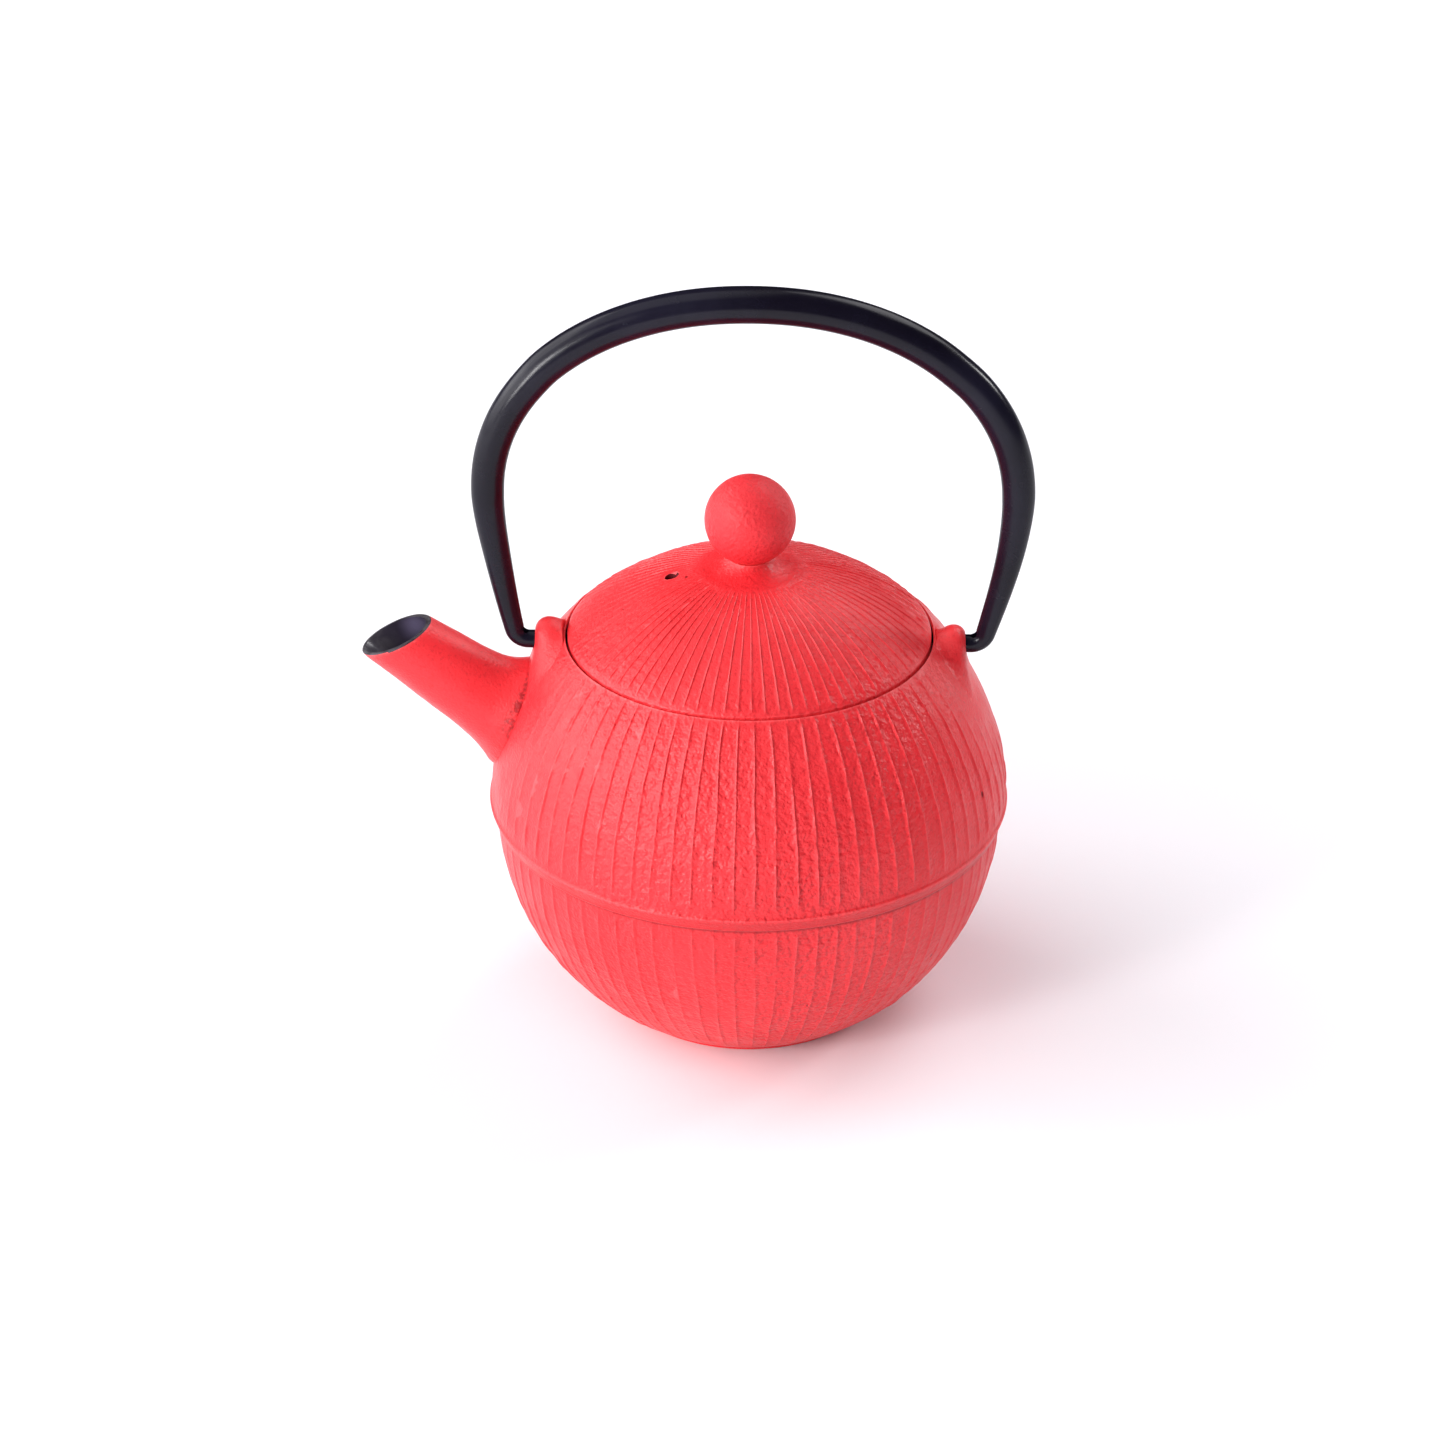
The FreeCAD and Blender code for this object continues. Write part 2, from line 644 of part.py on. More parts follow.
def rolled_section(radius):
    """Sheet rolled into a C, open at the seam on the inner side of the bail."""
    inner = radius - BAIL_SHEET
    return Part.Wire([
        sheet_side(radius, 1),
        sheet_side(radius, -1),
        line(seam_lip(radius, -1), seam_lip(inner, -1)),
        sheet_side(inner, -1),
        sheet_side(inner, 1),
        line(seam_lip(inner, 1), seam_lip(radius, 1)),
    ])


def loft_along(stations, section):
    rings = [across_bail(section(radius), place, way) for place, way, radius in stations]
    return facing_out(Part.makeLoft(rings, True, False))


def hook_pin(side):
    """Straight end of the bail that turns in the lug."""
    start = Vector(side * HOOK_END_X, 0, PIVOT_Z)
    return Part.makeCylinder(HOOK_RADIUS, bend_end_x() - HOOK_END_X, start, ALONG_X * side)


def bail_handle():
    """Bail rolled from sheet: hollow from ankle to ankle, with its seam along the inside, and
    a solid bend and hook at each end."""
    stations = whole_bail_stations()
    bail = loft_along(stations[BEND_STATIONS - 1:1 - BEND_STATIONS], rolled_section)
    for bend in (stations[:BEND_STATIONS], stations[-BEND_STATIONS:]):
        bail = bail.fuse(loft_along(bend, rod_section))
    for side in (-1, 1):
        bail = bail.fuse(hook_pin(side))
    return largest_solid(bail)


SUB_PARTS = {
    "pot_body": pot_body,
    "lid_casting": lid_casting,
    "lid_knob": lid_knob,
    "knob_washer": knob_washer,
    "knob_screw": knob_screw,
    "strainer_collar": strainer_collar,
    "strainer_gauze_wall": strainer_gauze_wall,
    "strainer_gauze_floor": strainer_gauze_floor,
    "strainer_bottom_ring": strainer_bottom_ring,
    "bail_handle": bail_handle,
}

os.makedirs("parts", exist_ok=True)
for name, make in SUB_PARTS.items():
    make().exportStep(f"parts/{name}.step")
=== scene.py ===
"""Looks of the round cast iron teapot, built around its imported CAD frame.

Blender units are metres.  Shapes are worked out in millimetres, and mesh() turns them into
metres; lengths in materials, lamps and the camera are metres.  Every place is measured from
the CAD boxes: +Z is up, the spout points along -X.
"""
import itertools
import math

import bmesh
import bpy
import numpy as np
from mathutils import Matrix, Vector


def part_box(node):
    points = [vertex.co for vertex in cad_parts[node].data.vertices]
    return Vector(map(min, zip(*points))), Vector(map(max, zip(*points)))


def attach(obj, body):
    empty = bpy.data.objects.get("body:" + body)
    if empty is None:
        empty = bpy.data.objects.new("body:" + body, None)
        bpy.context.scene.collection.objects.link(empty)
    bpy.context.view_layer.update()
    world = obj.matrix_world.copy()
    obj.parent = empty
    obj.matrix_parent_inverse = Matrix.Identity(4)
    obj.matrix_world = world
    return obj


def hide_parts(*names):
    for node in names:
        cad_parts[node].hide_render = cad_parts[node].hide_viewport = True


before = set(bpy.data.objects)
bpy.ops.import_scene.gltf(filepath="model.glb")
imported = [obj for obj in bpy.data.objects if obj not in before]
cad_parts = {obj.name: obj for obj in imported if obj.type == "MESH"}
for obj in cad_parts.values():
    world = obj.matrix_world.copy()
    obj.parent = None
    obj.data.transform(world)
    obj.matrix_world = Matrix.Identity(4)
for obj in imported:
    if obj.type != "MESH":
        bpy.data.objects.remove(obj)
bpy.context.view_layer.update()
MM = 0.001


def box_mm(node):
    """Lowest and highest corner of a CAD node, in millimetres."""
    low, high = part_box(node)
    return np.array(low) / MM, np.array(high) / MM


# ---- driving sizes, from the frame -------------------------------------------------------
pot_low, pot_high = box_mm("pot_body")
lid_low, lid_high = box_mm("lid_casting")
_, knob_high = box_mm("lid_knob")
collar_low, collar_high = box_mm("strainer_collar")
wall_low, wall_high = box_mm("strainer_gauze_wall")
floor_low, floor_high = box_mm("strainer_gauze_floor")
ring_low, ring_high = box_mm("strainer_bottom_ring")
_, bail_high = box_mm("bail_handle")

KNOB_RADIUS = knob_high[0]
KNOB_Z = knob_high[2] - KNOB_RADIUS
KNOB_ABOVE_EQUATOR = 66.5
EQUATOR_Z = KNOB_Z - KNOB_ABOVE_EQUATOR
CENTRE = np.array([0.0, 0.0, EQUATOR_Z])
BELT_RADIUS = pot_high[1]
BELT_PROUD = 0.36
BELT_TOP_RISE = 1.45
BELT_FOOT_DROP = 2.35
BALL_RADIUS = BELT_RADIUS - BELT_PROUD
LOWER_STEP = 1.2
LOWER_RADIUS = BALL_RADIUS - LOWER_STEP
LOWER_DROP = 0.7
LOWER_CENTRE_Z = EQUATOR_Z - LOWER_DROP
LID_RADIUS = lid_high[0]
LID_GAP = 0.45
MOUTH_RADIUS = LID_RADIUS + LID_GAP
COLLAR_RIM = 0.6
LEDGE_Z = collar_high[2] - COLLAR_RIM
LEDGE_BORE = 33.5
WALL = 3.4
CAVITY_RADIUS = BALL_RADIUS - WALL
CAVITY_DROP = 0.4
CAVITY_FLOOR_Z = 4.8
FOOT_RADIUS = 28.3
FOOT_HEIGHT = 1.2
FOOT_RING_WIDTH = 3.8
FOOT_RECESS = 1.8

# ---- ribs: fine rows have a point for every offset, coarse ones a quarter of them --------
RIBS = 78
LID_RIBS = 84
RIB_HEIGHT = 0.33
LID_RIB_SHARE = 0.75
# one rib and the panel after it: share of the pitch, share of the height, share of the sway
RIB_OFFSETS = np.array([-0.115, -0.048, 0.0, 0.042, 0.092, 0.30, 0.50, 0.70])
RIB_PROFILE = np.array([0.0, 0.76, 1.0, 0.66, -0.10, -0.08, -0.06, -0.04])
RIB_SWAY = np.array([1.0, 1.0, 1.0, 1.0, 1.0, 0.55, 0.2, 0.5])
FINE = RIBS * len(RIB_OFFSETS)
COARSE = FINE // 4
LID_FINE = LID_RIBS * len(RIB_OFFSETS)
LID_COARSE = LID_FINE // 4


# ---- small tools -------------------------------------------------------------------------
def value_noise(points, seed):
    """Smooth noise in -1..1 with one lattice cell per unit of length."""
    base = np.floor(points).astype(np.int64)
    part = points - base
    part = part * part * (3 - 2 * part)
    total = np.zeros(points.shape[:-1])
    for corner in itertools.product((0, 1), repeat=3):
        cell = base + np.array(corner)
        x, y, z = cell[..., 0], cell[..., 1], cell[..., 2]
        mixed = x * 73856093 ^ y * 19349663 ^ z * 83492791 ^ seed * 40503
        mixed = ((mixed ^ (mixed >> 13)) * 1274126177) & 0xFFFFFFFF
        mixed = ((mixed ^ (mixed >> 16)) * 1911520717) & 0xFFFFFFFF
        near = np.where(np.array(corner) == 1, part, 1 - part).prod(-1)
        total += near * (mixed / 2.0 ** 31 - 1)
    return total


def layered_noise(points, length, seed):
    """Two layers of noise; length is the coarse layer's cell size."""
    return 0.7 * value_noise(points / length, seed) + 0.3 * value_noise(points / length * 2.3, seed + 7)


def lengths(vectors):
    return np.linalg.norm(vectors, axis=1)


def unit(vectors):
    return vectors / lengths(vectors)[:, None]


def smooth_step(value, low, high):
    t = np.clip((value - low) / (high - low), 0, 1)
    return t * t * (3 - 2 * t)


def mesh(name, points, faces):
    """Mesh object from points in millimetres, with faces turned outwards."""
    data = bpy.data.meshes.new(name)
    data.from_pydata((np.asarray(points) * MM).tolist(), [], faces)
    shaped = bmesh.new()
    shaped.from_mesh(data)
    bmesh.ops.recalc_face_normals(shaped, faces=shaped.faces)
    shaped.to_mesh(data)
    shaped.free()
    made = bpy.data.objects.new(name, data)
    bpy.context.scene.collection.objects.link(made)
    return made


def finished(piece, degrees, *materials):
    """Gives a piece its materials, and smooth shading with creases at edges sharper than the
    angle."""
    for material in materials:
        piece.data.materials.append(material)
    piece.data.shade_smooth()
    piece.data.set_sharp_from_angle(angle=math.radians(degrees))
    return piece


def bridge(faces, start_a, count_a, start_b, count_b):
    """Faces between two rings; the finer ring has a whole multiple of the coarser's points."""
    if count_a < count_b:
        start_a, count_a, start_b, count_b = start_b, count_b, start_a, count_a
    step = count_a // count_b
    for i in range(count_b):
        fine = [start_a + (i * step + j) % count_a for j in range(step + 1)]
        faces.append(fine + [start_b + (i + 1) % count_b, start_b + i])


def skin(name, rings, first_pole=None, last_pole=None, loop=False):
    """Closed skin over a list of rings.  A pole closes an end with a fan; loop joins the
    last ring back to the first."""
    points, faces, starts = [], [], []
    for ring in rings:
        starts.append(len(points))
        points.extend(ring.tolist())
    for a, b in zip(range(len(rings) - 1), range(1, len(rings))):
        bridge(faces, starts[a], len(rings[a]), starts[b], len(rings[b]))
    if loop:
        bridge(faces, starts[-1], len(rings[-1]), starts[0], len(rings[0]))
    for pole, which in ((first_pole, 0), (last_pole, -1)):
        if pole is None:
            continue
        points.append(list(pole))
        start, count, tip = starts[which], len(rings[which]), len(points) - 1
        faces.extend([start + i, start + (i + 1) % count, tip] for i in range(count))
    return mesh(name, points, faces)


def even_angles(count):
    return np.arange(count) * 2 * math.pi / count


def level_ring(angle, radius, z):
    return np.stack([radius * np.cos(angle), radius * np.sin(angle), np.full(len(angle), z)], -1)


def circle(radius, z, count):
    return level_ring(even_angles(count), radius, z)


def circles(outline, count):
    """Level rings from an outline of (radius, z)."""
    return [circle(radius, z, count) for radius, z in outline]


def bar(name, rings):
    """Skin over a list of rings, closed at both ends."""
    return skin(name, rings, first_pole=rings[0].mean(0), last_pole=rings[-1].mean(0))


def turned(name, outline, count):
    """Skin turned about Z from a closed outline of (radius, z)."""
    return skin(name, circles(outline, count), loop=True)


def arc_points(centre, radius, start, end, count):
    """(across, up) points on an arc, angles in degrees from the first axis."""
    angles = np.radians(np.linspace(start, end, count))
    return [(centre[0] + radius * math.cos(a), centre[1] + radius * math.sin(a)) for a in angles]


def combine(base, tool, operation):
    """Boolean of two closed meshes; the tool is used up."""
    step = base.modifiers.new("combine", "BOOLEAN")
    step.object = tool
    step.operation = operation
    step.solver = "MANIFOLD"
    bpy.context.view_layer.update()
    evaluated = base.evaluated_get(bpy.context.evaluated_depsgraph_get())
    result = bpy.data.meshes.new_from_object(evaluated)
    base.modifiers.clear()
    base.data = result
    bpy.data.objects.remove(tool)
    return base


# ---- ribbed skins ------------------------------------------------------------------------
def rib_columns(turn, along, ribs=RIBS):
    """Azimuth and relief height of every fine column on one row.  along is the row's place,
    so that each rib sways a little and its height varies on the way down."""
    rib = np.repeat(np.arange(ribs), len(RIB_OFFSETS))
    key = np.stack([rib * 3.7, np.full(len(rib), along / 9.0), np.full(len(rib), turn)], -1)
    quick = key * np.array([1.0, 4.3, 1.0])
    sway = 0.060 * value_noise(key, 11) + 0.018 * value_noise(quick, 12)
    place = rib + np.tile(RIB_OFFSETS, ribs) + sway * np.tile(RIB_SWAY, ribs) + turn
    uneven = 0.80 + 0.35 * value_noise(quick, 13) + 0.2 * value_noise(key, 14)
    return place * 2 * math.pi / ribs, np.tile(RIB_PROFILE, ribs) * uneven


def ball_row(radius, centre_z, angle, strength):
    """Row of a ball's skin at an angle from its top: radius, z, outward normal, rib strength."""
    across, up = math.sin(angle), math.cos(angle)
    return radius * across, centre_z + radius * up, (across, up), float(strength)


def ribbed_ring(row, along, turn, side_fade, ribs=RIBS):
    """One row of the casting's skin, pushed out along its normal by ribs and cast texture."""
    radius, z, normal, strength = row
    angle, height = rib_columns(turn, along, ribs)
    ring = level_ring(angle, radius, z)
    outward = level_ring(angle, *normal)
    fade = side_fade(ring)
    pitch = radius * 2 * math.pi / ribs
    relief = RIB_HEIGHT * min(1.0, pitch / 1.7) * height * strength * fade
    grain = 0.075 * layered_noise(ring, 2.4, 21) * (0.35 + 0.65 * fade) * min(1.0, strength + 0.3)
    swell = 0.09 * value_noise(ring / 11.0, 23)
    return ring + outward * (relief + grain + swell * min(1.0, strength + 0.2))[:, None]


def body_side_fade(points):
    """Ribs are dressed away around both lugs and fainter around the spout."""
    lug_out, lug_rise, spout_rise = 44.0, 34.0, 17.0
    rise = points[:, 2] - EQUATOR_Z
    near_lug = np.hypot(np.abs(points[:, 0]) - lug_out, points[:, 1] * 0.8)
    lug_fade = smooth_step(np.hypot(near_lug, (rise - lug_rise) * 0.6), 9.0, 21.0)
    from_spout = np.hypot(points[:, 1], (rise - spout_rise) * 0.9)
    spout_fade = np.where(points[:, 0] < 0, smooth_step(from_spout, 17.0, 38.0), 1.0)
    return lug_fade * (0.12 + 0.88 * spout_fade)


def lid_side_fade(points):
    """Ribs are fainter towards the rim over the spout and bolder over the far lug, and they
    are dressed away around the steam hole."""
    reach = np.hypot(points[:, 0], points[:, 1])
    bearing = np.abs(points[:, 1]) / np.maximum(reach, 1e-6)
    over_lugs = (1 - smooth_step(bearing, 0.15, 0.75)) * smooth_step(reach, 18.0, 30.0)
    over_spout = np.where(points[:, 0] < 0, 0.7, -0.25)
    from_hole = np.hypot(points[:, 0] + STEAM_HOLE_OFFSET, points[:, 1])
    return LID_RIB_SHARE * (1 - over_lugs * over_spout) * smooth_step(from_hole, 2.0, 4.5)


# ---- pot body ----------------------------------------------------------------------------
def upper_ball_rows():
    """Rows down the upper ball, mouth to belt."""
    lip_angle = math.asin((MOUTH_RADIUS + 0.5) / BALL_RADIUS)
    belt_angle = math.acos(BELT_TOP_RISE / BALL_RADIUS)
    rows = []
    for angle in np.linspace(lip_angle, belt_angle, 48):
        strength = smooth_step(BALL_RADIUS * (angle - lip_angle), 0.1, 1.6)
        strength *= smooth_step(BALL_RADIUS * (belt_angle - angle), 0.2, 3.4)
        rows.append(ball_row(BALL_RADIUS, EQUATOR_Z, angle, strength))
    return rows


def belt_rows():
    """Rows over the raised belt: a rounded shoulder, a face that leans inwards going down and
    a small bead at its lower edge."""
    inset_and_rise = [
        (0.34, 1.26), (0.10, 1.08), (0.0, 0.86), (0.07, 0.55), (0.30, -0.05), (0.60, -0.70),
        (0.86, -1.28), (0.97, -1.62), (0.98, -1.86), (1.12, -2.06), (1.44, -2.20),
    ]
    return [(BELT_RADIUS - inset, EQUATOR_Z + rise, (1.0, 0.0), 0.0) for inset, rise in inset_and_rise]


def lower_ball_rows():
    """Rows down the lower ball, belt to foot."""
    belt_angle = math.acos((LOWER_DROP - BELT_FOOT_DROP) / LOWER_RADIUS)
    foot_angle = math.acos((FOOT_HEIGHT - LOWER_CENTRE_Z) / LOWER_RADIUS)
    rows = []
    for angle in np.linspace(belt_angle, foot_angle, 55):
        strength = 0.66 * smooth_step(LOWER_RADIUS * (angle - belt_angle), 0.0, 1.1)
        strength *= smooth_step(LOWER_RADIUS * (foot_angle - angle), 0.5, 14.0)
        rows.append(ball_row(LOWER_RADIUS, LOWER_CENTRE_Z, angle, strength))
    return rows


def foot_rings():
    """Rings from the middle of the underside out over the foot ring."""
    inner = FOOT_RADIUS - FOOT_RING_WIDTH
    underside = [(radius, FOOT_RECESS) for radius in (8.0, 16.0, inner - 2.0)]
    underside += [(inner - 1.6, 1.66), (inner - 0.2, 0.2), (inner + 0.1, 0.0)]
    foot_edge = [(-0.35, 0.0), (-0.08, 0.1), (0.0, 0.4), (0.0, 0.85), (0.25, 1.08)]
    angle, _ = rib_columns(0.0, 0.0)
    edge_rings = [level_ring(angle, FOOT_RADIUS + widen, z) for widen, z in foot_edge]
    return circles(underside, COARSE) + edge_rings


def mouth_rings():
    """Rings from the outer skin over the lip, down the bore and onto the ledge."""
    crown = EQUATOR_Z + math.sqrt(BALL_RADIUS ** 2 - MOUTH_RADIUS ** 2)
    angle, _ = rib_columns(0.0, 0.0)
    lip = [(0.24, 0.20), (0.07, 0.34), (0.0, 0.62), (0.0, 1.1)]
    rings = [level_ring(angle, MOUTH_RADIUS + widen, crown - drop) for widen, drop in lip]
    bore_foot = [(MOUTH_RADIUS, LEDGE_Z + 0.35), (MOUTH_RADIUS - 0.3, LEDGE_Z)]
    return rings + circles(bore_foot, COARSE)


def cavity_rings():
    """Rings from the ledge down the enamelled inside to the floor."""
    centre_z = EQUATOR_Z - CAVITY_DROP
    ledge = ((0.3, 0), (0, 0.3), (0, 2.3), (0.35, 2.6))
    outline = [(LEDGE_BORE + widen, LEDGE_Z - drop) for widen, drop in ledge]
    start = math.acos((LEDGE_Z - 4.2 - centre_z) / CAVITY_RADIUS)
    end = math.acos((CAVITY_FLOOR_Z + 3.5 - centre_z) / CAVITY_RADIUS)
    for angle in np.linspace(start, end, 26):
        outline.append((CAVITY_RADIUS * math.sin(angle), centre_z + CAVITY_RADIUS * math.cos(angle)))
    for radius, rise in ((31.0, 1.1), (28.5, 0.25), (25.5, 0), (14.0, 0), (5.0, 0)):
        outline.append((radius, CAVITY_FLOOR_Z + rise))
    return circles(outline, COARSE)


def shell_mesh():
    """Hollow shell: underside, foot, ribbed outside, lip, ledge and inside, in one skin."""
    rows = upper_ball_rows() + belt_rows() + lower_ball_rows()
    outside = [ribbed_ring(row, row[1], 0.0, body_side_fade) for row in rows]
    rings = foot_rings() + outside[::-1] + mouth_rings() + cavity_rings()
    return skin("pot_body_shell", rings, (0, 0, FOOT_RECESS), (0, 0, CAVITY_FLOOR_Z))


# ---- spout -------------------------------------------------------------------------------
SPOUT_TIP_INSET = 7.1
SPOUT_TIP_RISE = 38.0
SPOUT_TIP = np.array([pot_low[0] + SPOUT_TIP_INSET, 0.0, EQUATOR_Z + SPOUT_TIP_RISE])
SPOUT_RISE = math.radians(36)
SPOUT_CUT = math.radians(25.6)
SPOUT_TIP_RADIUS = 7.2
SPOUT_TAPER = 0.073
SPOUT_WALL = 0.98
SPOUT_IN = np.array([math.cos(SPOUT_RISE), 0.0, -math.sin(SPOUT_RISE)])
SPOUT_ACROSS = np.array([math.sin(SPOUT_RISE), 0.0, math.cos(SPOUT_RISE)])
SPOUT_CUT_NORMAL = np.array([-math.sin(SPOUT_CUT), 0.0, math.cos(SPOUT_CUT)])
SPOUT_COLUMNS = 96
SPOUT_ROWS = 44
SPOUT_RIM_SOFTENING = 0.38
SPOUT_ROOT_DEPTH = 1.7      # the bar ends this far under the ball's skin
ROOT_FLARE = 3.05
ROOT_FLARE_TOP = 0.7
ROOT_PINCH = 1.4
ROOT_LINE_RADIUS = 12.45
ROOT_LINE_LEAN = 0.5


def spout_spokes(angle):
    """Unit vectors across the spout's axis at the given angles; 0 is its upper side."""
    return np.outer(np.cos(angle), SPOUT_ACROSS) + np.outer(np.sin(angle), [0.0, 1.0, 0.0])


def spout_rim_depth(spoke):
    """Distance down the axis at which a spoke of the cone meets the mouth's cutting plane."""
    lean = spoke @ SPOUT_CUT_NORMAL
    return -SPOUT_TIP_RADIUS * lean / (SPOUT_IN @ SPOUT_CUT_NORMAL + SPOUT_TAPER * lean)


def spout_point(spoke, depth, root_depth, flare, length):
    """Point of the spout's outside: the cone, plus a flare that grows towards the ball."""
    before = np.maximum(root_depth - depth, 0.0)
    radius = SPOUT_TIP_RADIUS + SPOUT_TAPER * depth + flare * np.exp(-(before / length) ** 1.3)
    return SPOUT_TIP + SPOUT_IN * depth + spoke * radius


def spout_mesh():
    """Spout's outside as a closed bar, cut obliquely at its mouth, that ends inside the
    ball's wall."""
    rings = [[] for _ in range(SPOUT_ROWS + 3)]
    depths = np.linspace(10, 45, 800)
    for angle, spoke in zip(even_angles(SPOUT_COLUMNS), spout_spokes(even_angles(SPOUT_COLUMNS))):
        above = math.cos(angle)
        flare = ROOT_FLARE + ROOT_FLARE_TOP * above - ROOT_PINCH * (1 - above ** 4)
        length = 4.8 - 1.6 * max(above, 0.0)
        cone = (SPOUT_TIP_RADIUS + SPOUT_TAPER * depths)[:, None]
        straight = SPOUT_TIP + SPOUT_IN * depths[:, None] + spoke * cone
        root = depths[np.argmax(lengths(straight - CENTRE) < BALL_RADIUS)]
        flared = np.array([spout_point(spoke, depth, root, flare, length) for depth in depths])
        end = depths[np.argmax(lengths(flared - CENTRE) < BALL_RADIUS - SPOUT_ROOT_DEPTH)]
        rim = spout_rim_depth(spoke)
        rim_point = spout_point(spoke, rim, root, flare, length)
        start = rim + SPOUT_RIM_SOFTENING
        rings[0].append(rim_point - spoke * 0.42)
        rings[1].append(rim_point - spoke * 0.10 + SPOUT_IN * 0.08)
        rings[2].append(spout_point(spoke, start, root, flare, length))
        for row, share in enumerate(np.linspace(0, 1, SPOUT_ROWS + 1)[1:]):
            rings[row + 3].append(spout_point(spoke, start + (end - start) * share, root, flare, length))
    rings = [np.array(ring) for ring in rings]
    for ring in rings[3:]:
        away = unit(ring - SPOUT_TIP - np.outer((ring - SPOUT_TIP) @ SPOUT_IN, SPOUT_IN))
        waver = 0.11 * value_noise(ring / 7.0, 31) + 0.03 * value_noise(ring / 1.7, 32)
        ring += away * waver[:, None]
    inwards = rings[-1].mean(0) - CENTRE
    root_centre = CENTRE + inwards * (BALL_RADIUS - SPOUT_ROOT_DEPTH) / np.linalg.norm(inwards)
    return skin("spout_bar", rings, first_pole=rings[0].mean(0), last_pole=root_centre)


def spout_bore():
    """Bore of the spout, right through the ball's wall."""
    rings = []
    for depth, widen in ((-14.0, -0.35), (-6.0, 0.0), (40.0, 0.0)):
        radius = SPOUT_TIP_RADIUS - SPOUT_WALL + SPOUT_TAPER * depth + widen
        rings.append(SPOUT_TIP + SPOUT_IN * depth + spout_spokes(even_angles(SPOUT_COLUMNS)) * radius)
    return bar("spout_bore", rings)


# ---- lugs --------------------------------------------------------------------------------
PIVOT_Z = EQUATOR_Z + 37.5
LUG_HOLE_RADIUS = 2.4
LUG_HOLE_END_X = 41.3
LUG_LATTICE = ((36.0, 52.6), (-14.8, 14.8), (10.0, 43.7))
LUG_LATTICE_STEP = 0.44
LUG_FACE_X = {-1: 46.0, 1: 46.5}
LUG_TOP = {-1: 42.4, 1: 41.5}
LUG_TOP_RADIUS = 4.55
LUG_FOOT_RADIUS = 8.6
LUG_HEIGHT = 13.0
LUG_THICKNESS = {-1: 5.8, 1: 5.4}
LUG_EDGE = {-1: 2.9, 1: 2.65}
LUG_FILLET = {-1: 4.8, 1: 3.6}
LUG_REACH = 5.2


def smooth_min(a, b, width):
    """Lower of two distances, with the crease rounded over the given width."""
    share = np.clip(0.5 + 0.5 * (b - a) / width, 0, 1)
    return b * (1 - share) + a * share - width * share * (1 - share)


def tongue_field(x, y, z, side):
    """Distance to a lug without its foot: a thick tongue that is round on top, spreads
    downwards and has rounded rims around its outer and inner faces."""
    drop = (LUG_FOOT_RADIUS - LUG_TOP_RADIUS) / LUG_HEIGHT
    run = math.sqrt(1 - drop ** 2)
    up = z - (LUG_TOP[side] - LUG_TOP_RADIUS - LUG_HEIGHT)
    aside = np.abs(y)
    reach = run * up - drop * aside
    beside = run * aside + drop * up - LUG_FOOT_RADIUS
    edge = np.where(reach < 0, np.hypot(aside, up) - LUG_FOOT_RADIUS, beside)
    edge = np.where(reach > run * LUG_HEIGHT, np.hypot(aside, up - LUG_HEIGHT) - LUG_TOP_RADIUS, edge)
    half = LUG_THICKNESS[side] / 2
    slab = np.abs(x - LUG_FACE_X[side] + half) - half
    rim = LUG_EDGE[side]
    a, b = edge + rim, slab + rim
    return np.minimum(np.maximum(a, b), 0) + np.hypot(np.maximum(a, 0), np.maximum(b, 0)) - rim


def lug_field(x, y, z, side):
    """Distance to a lug with a fillet onto the ball.  Away from the lug the ball's part dips
    under the casting's skin, and below it ends inside the wall."""
    tongue = tongue_field(x, y, z, side)
    far = np.maximum(tongue - 3.2, 0)
    from_centre = np.sqrt(x ** 2 + y ** 2 + z ** 2)
    blend = smooth_min(tongue, from_centre - BALL_RADIUS + 0.10 + 0.05 * far ** 2, LUG_FILLET[side])
    limits = np.maximum(BALL_RADIUS - 2.2 - from_centre, MOUTH_RADIUS + 0.6 - np.hypot(x, y))
    return np.maximum(np.maximum(blend, limits), tongue - LUG_REACH)


def surface_net(name, axes, field):
    """Mesh of the zero surface of a field sampled on a lattice: a point in every cell that the
    surface crosses, and a face across every lattice edge that it crosses."""
    inside = field < 0
    count = np.array(field.shape) - 1
    total, hits = np.zeros((*count, 3)), np.zeros(count)

    def corner(grid, shift):
        return grid[tuple(slice(s, s + c) for s, c in zip(shift, count))]

    for start in itertools.product((0, 1), repeat=3):
        for axis in range(3):
            if start[axis]:
                continue
            end = tuple(s + (k == axis) for k, s in enumerate(start))
            low, high = corner(field, start), corner(field, end)
            crossed = corner(inside, start) != corner(inside, end)
            share = np.where(crossed, low / np.where(crossed, low - high, 1), 0)
            place = np.array(start) + share[..., None] * (np.arange(3) == axis)
            total += np.where(crossed[..., None], place, 0)
            hits += crossed
    used = hits > 0
    number = np.full(count, -1)
    number[used] = np.arange(used.sum())
    origin = np.array([axis[0] for axis in axes])
    step = np.array([axis[1] - axis[0] for axis in axes])
    points = origin + step * (np.argwhere(used) + total[used] / hits[used][:, None])
    faces = []
    for axis in range(3):
        one, two = (axis + 1) % 3, (axis + 2) % 3
        here = np.argwhere(np.diff(inside, axis=axis))
        here = here[(here[:, one] > 0) & (here[:, two] > 0)]
        here = here[(here[:, one] < count[one]) & (here[:, two] < count[two])]
        cells = []
        for back_one, back_two in ((1, 1), (0, 1), (0, 0), (1, 0)):
            cell = here.copy()
            cell[:, one] -= back_one
            cell[:, two] -= back_two
            cells.append(number[tuple(cell.T)])
        faces.extend(np.stack(cells, -1).tolist())
    return mesh(name, points, faces)


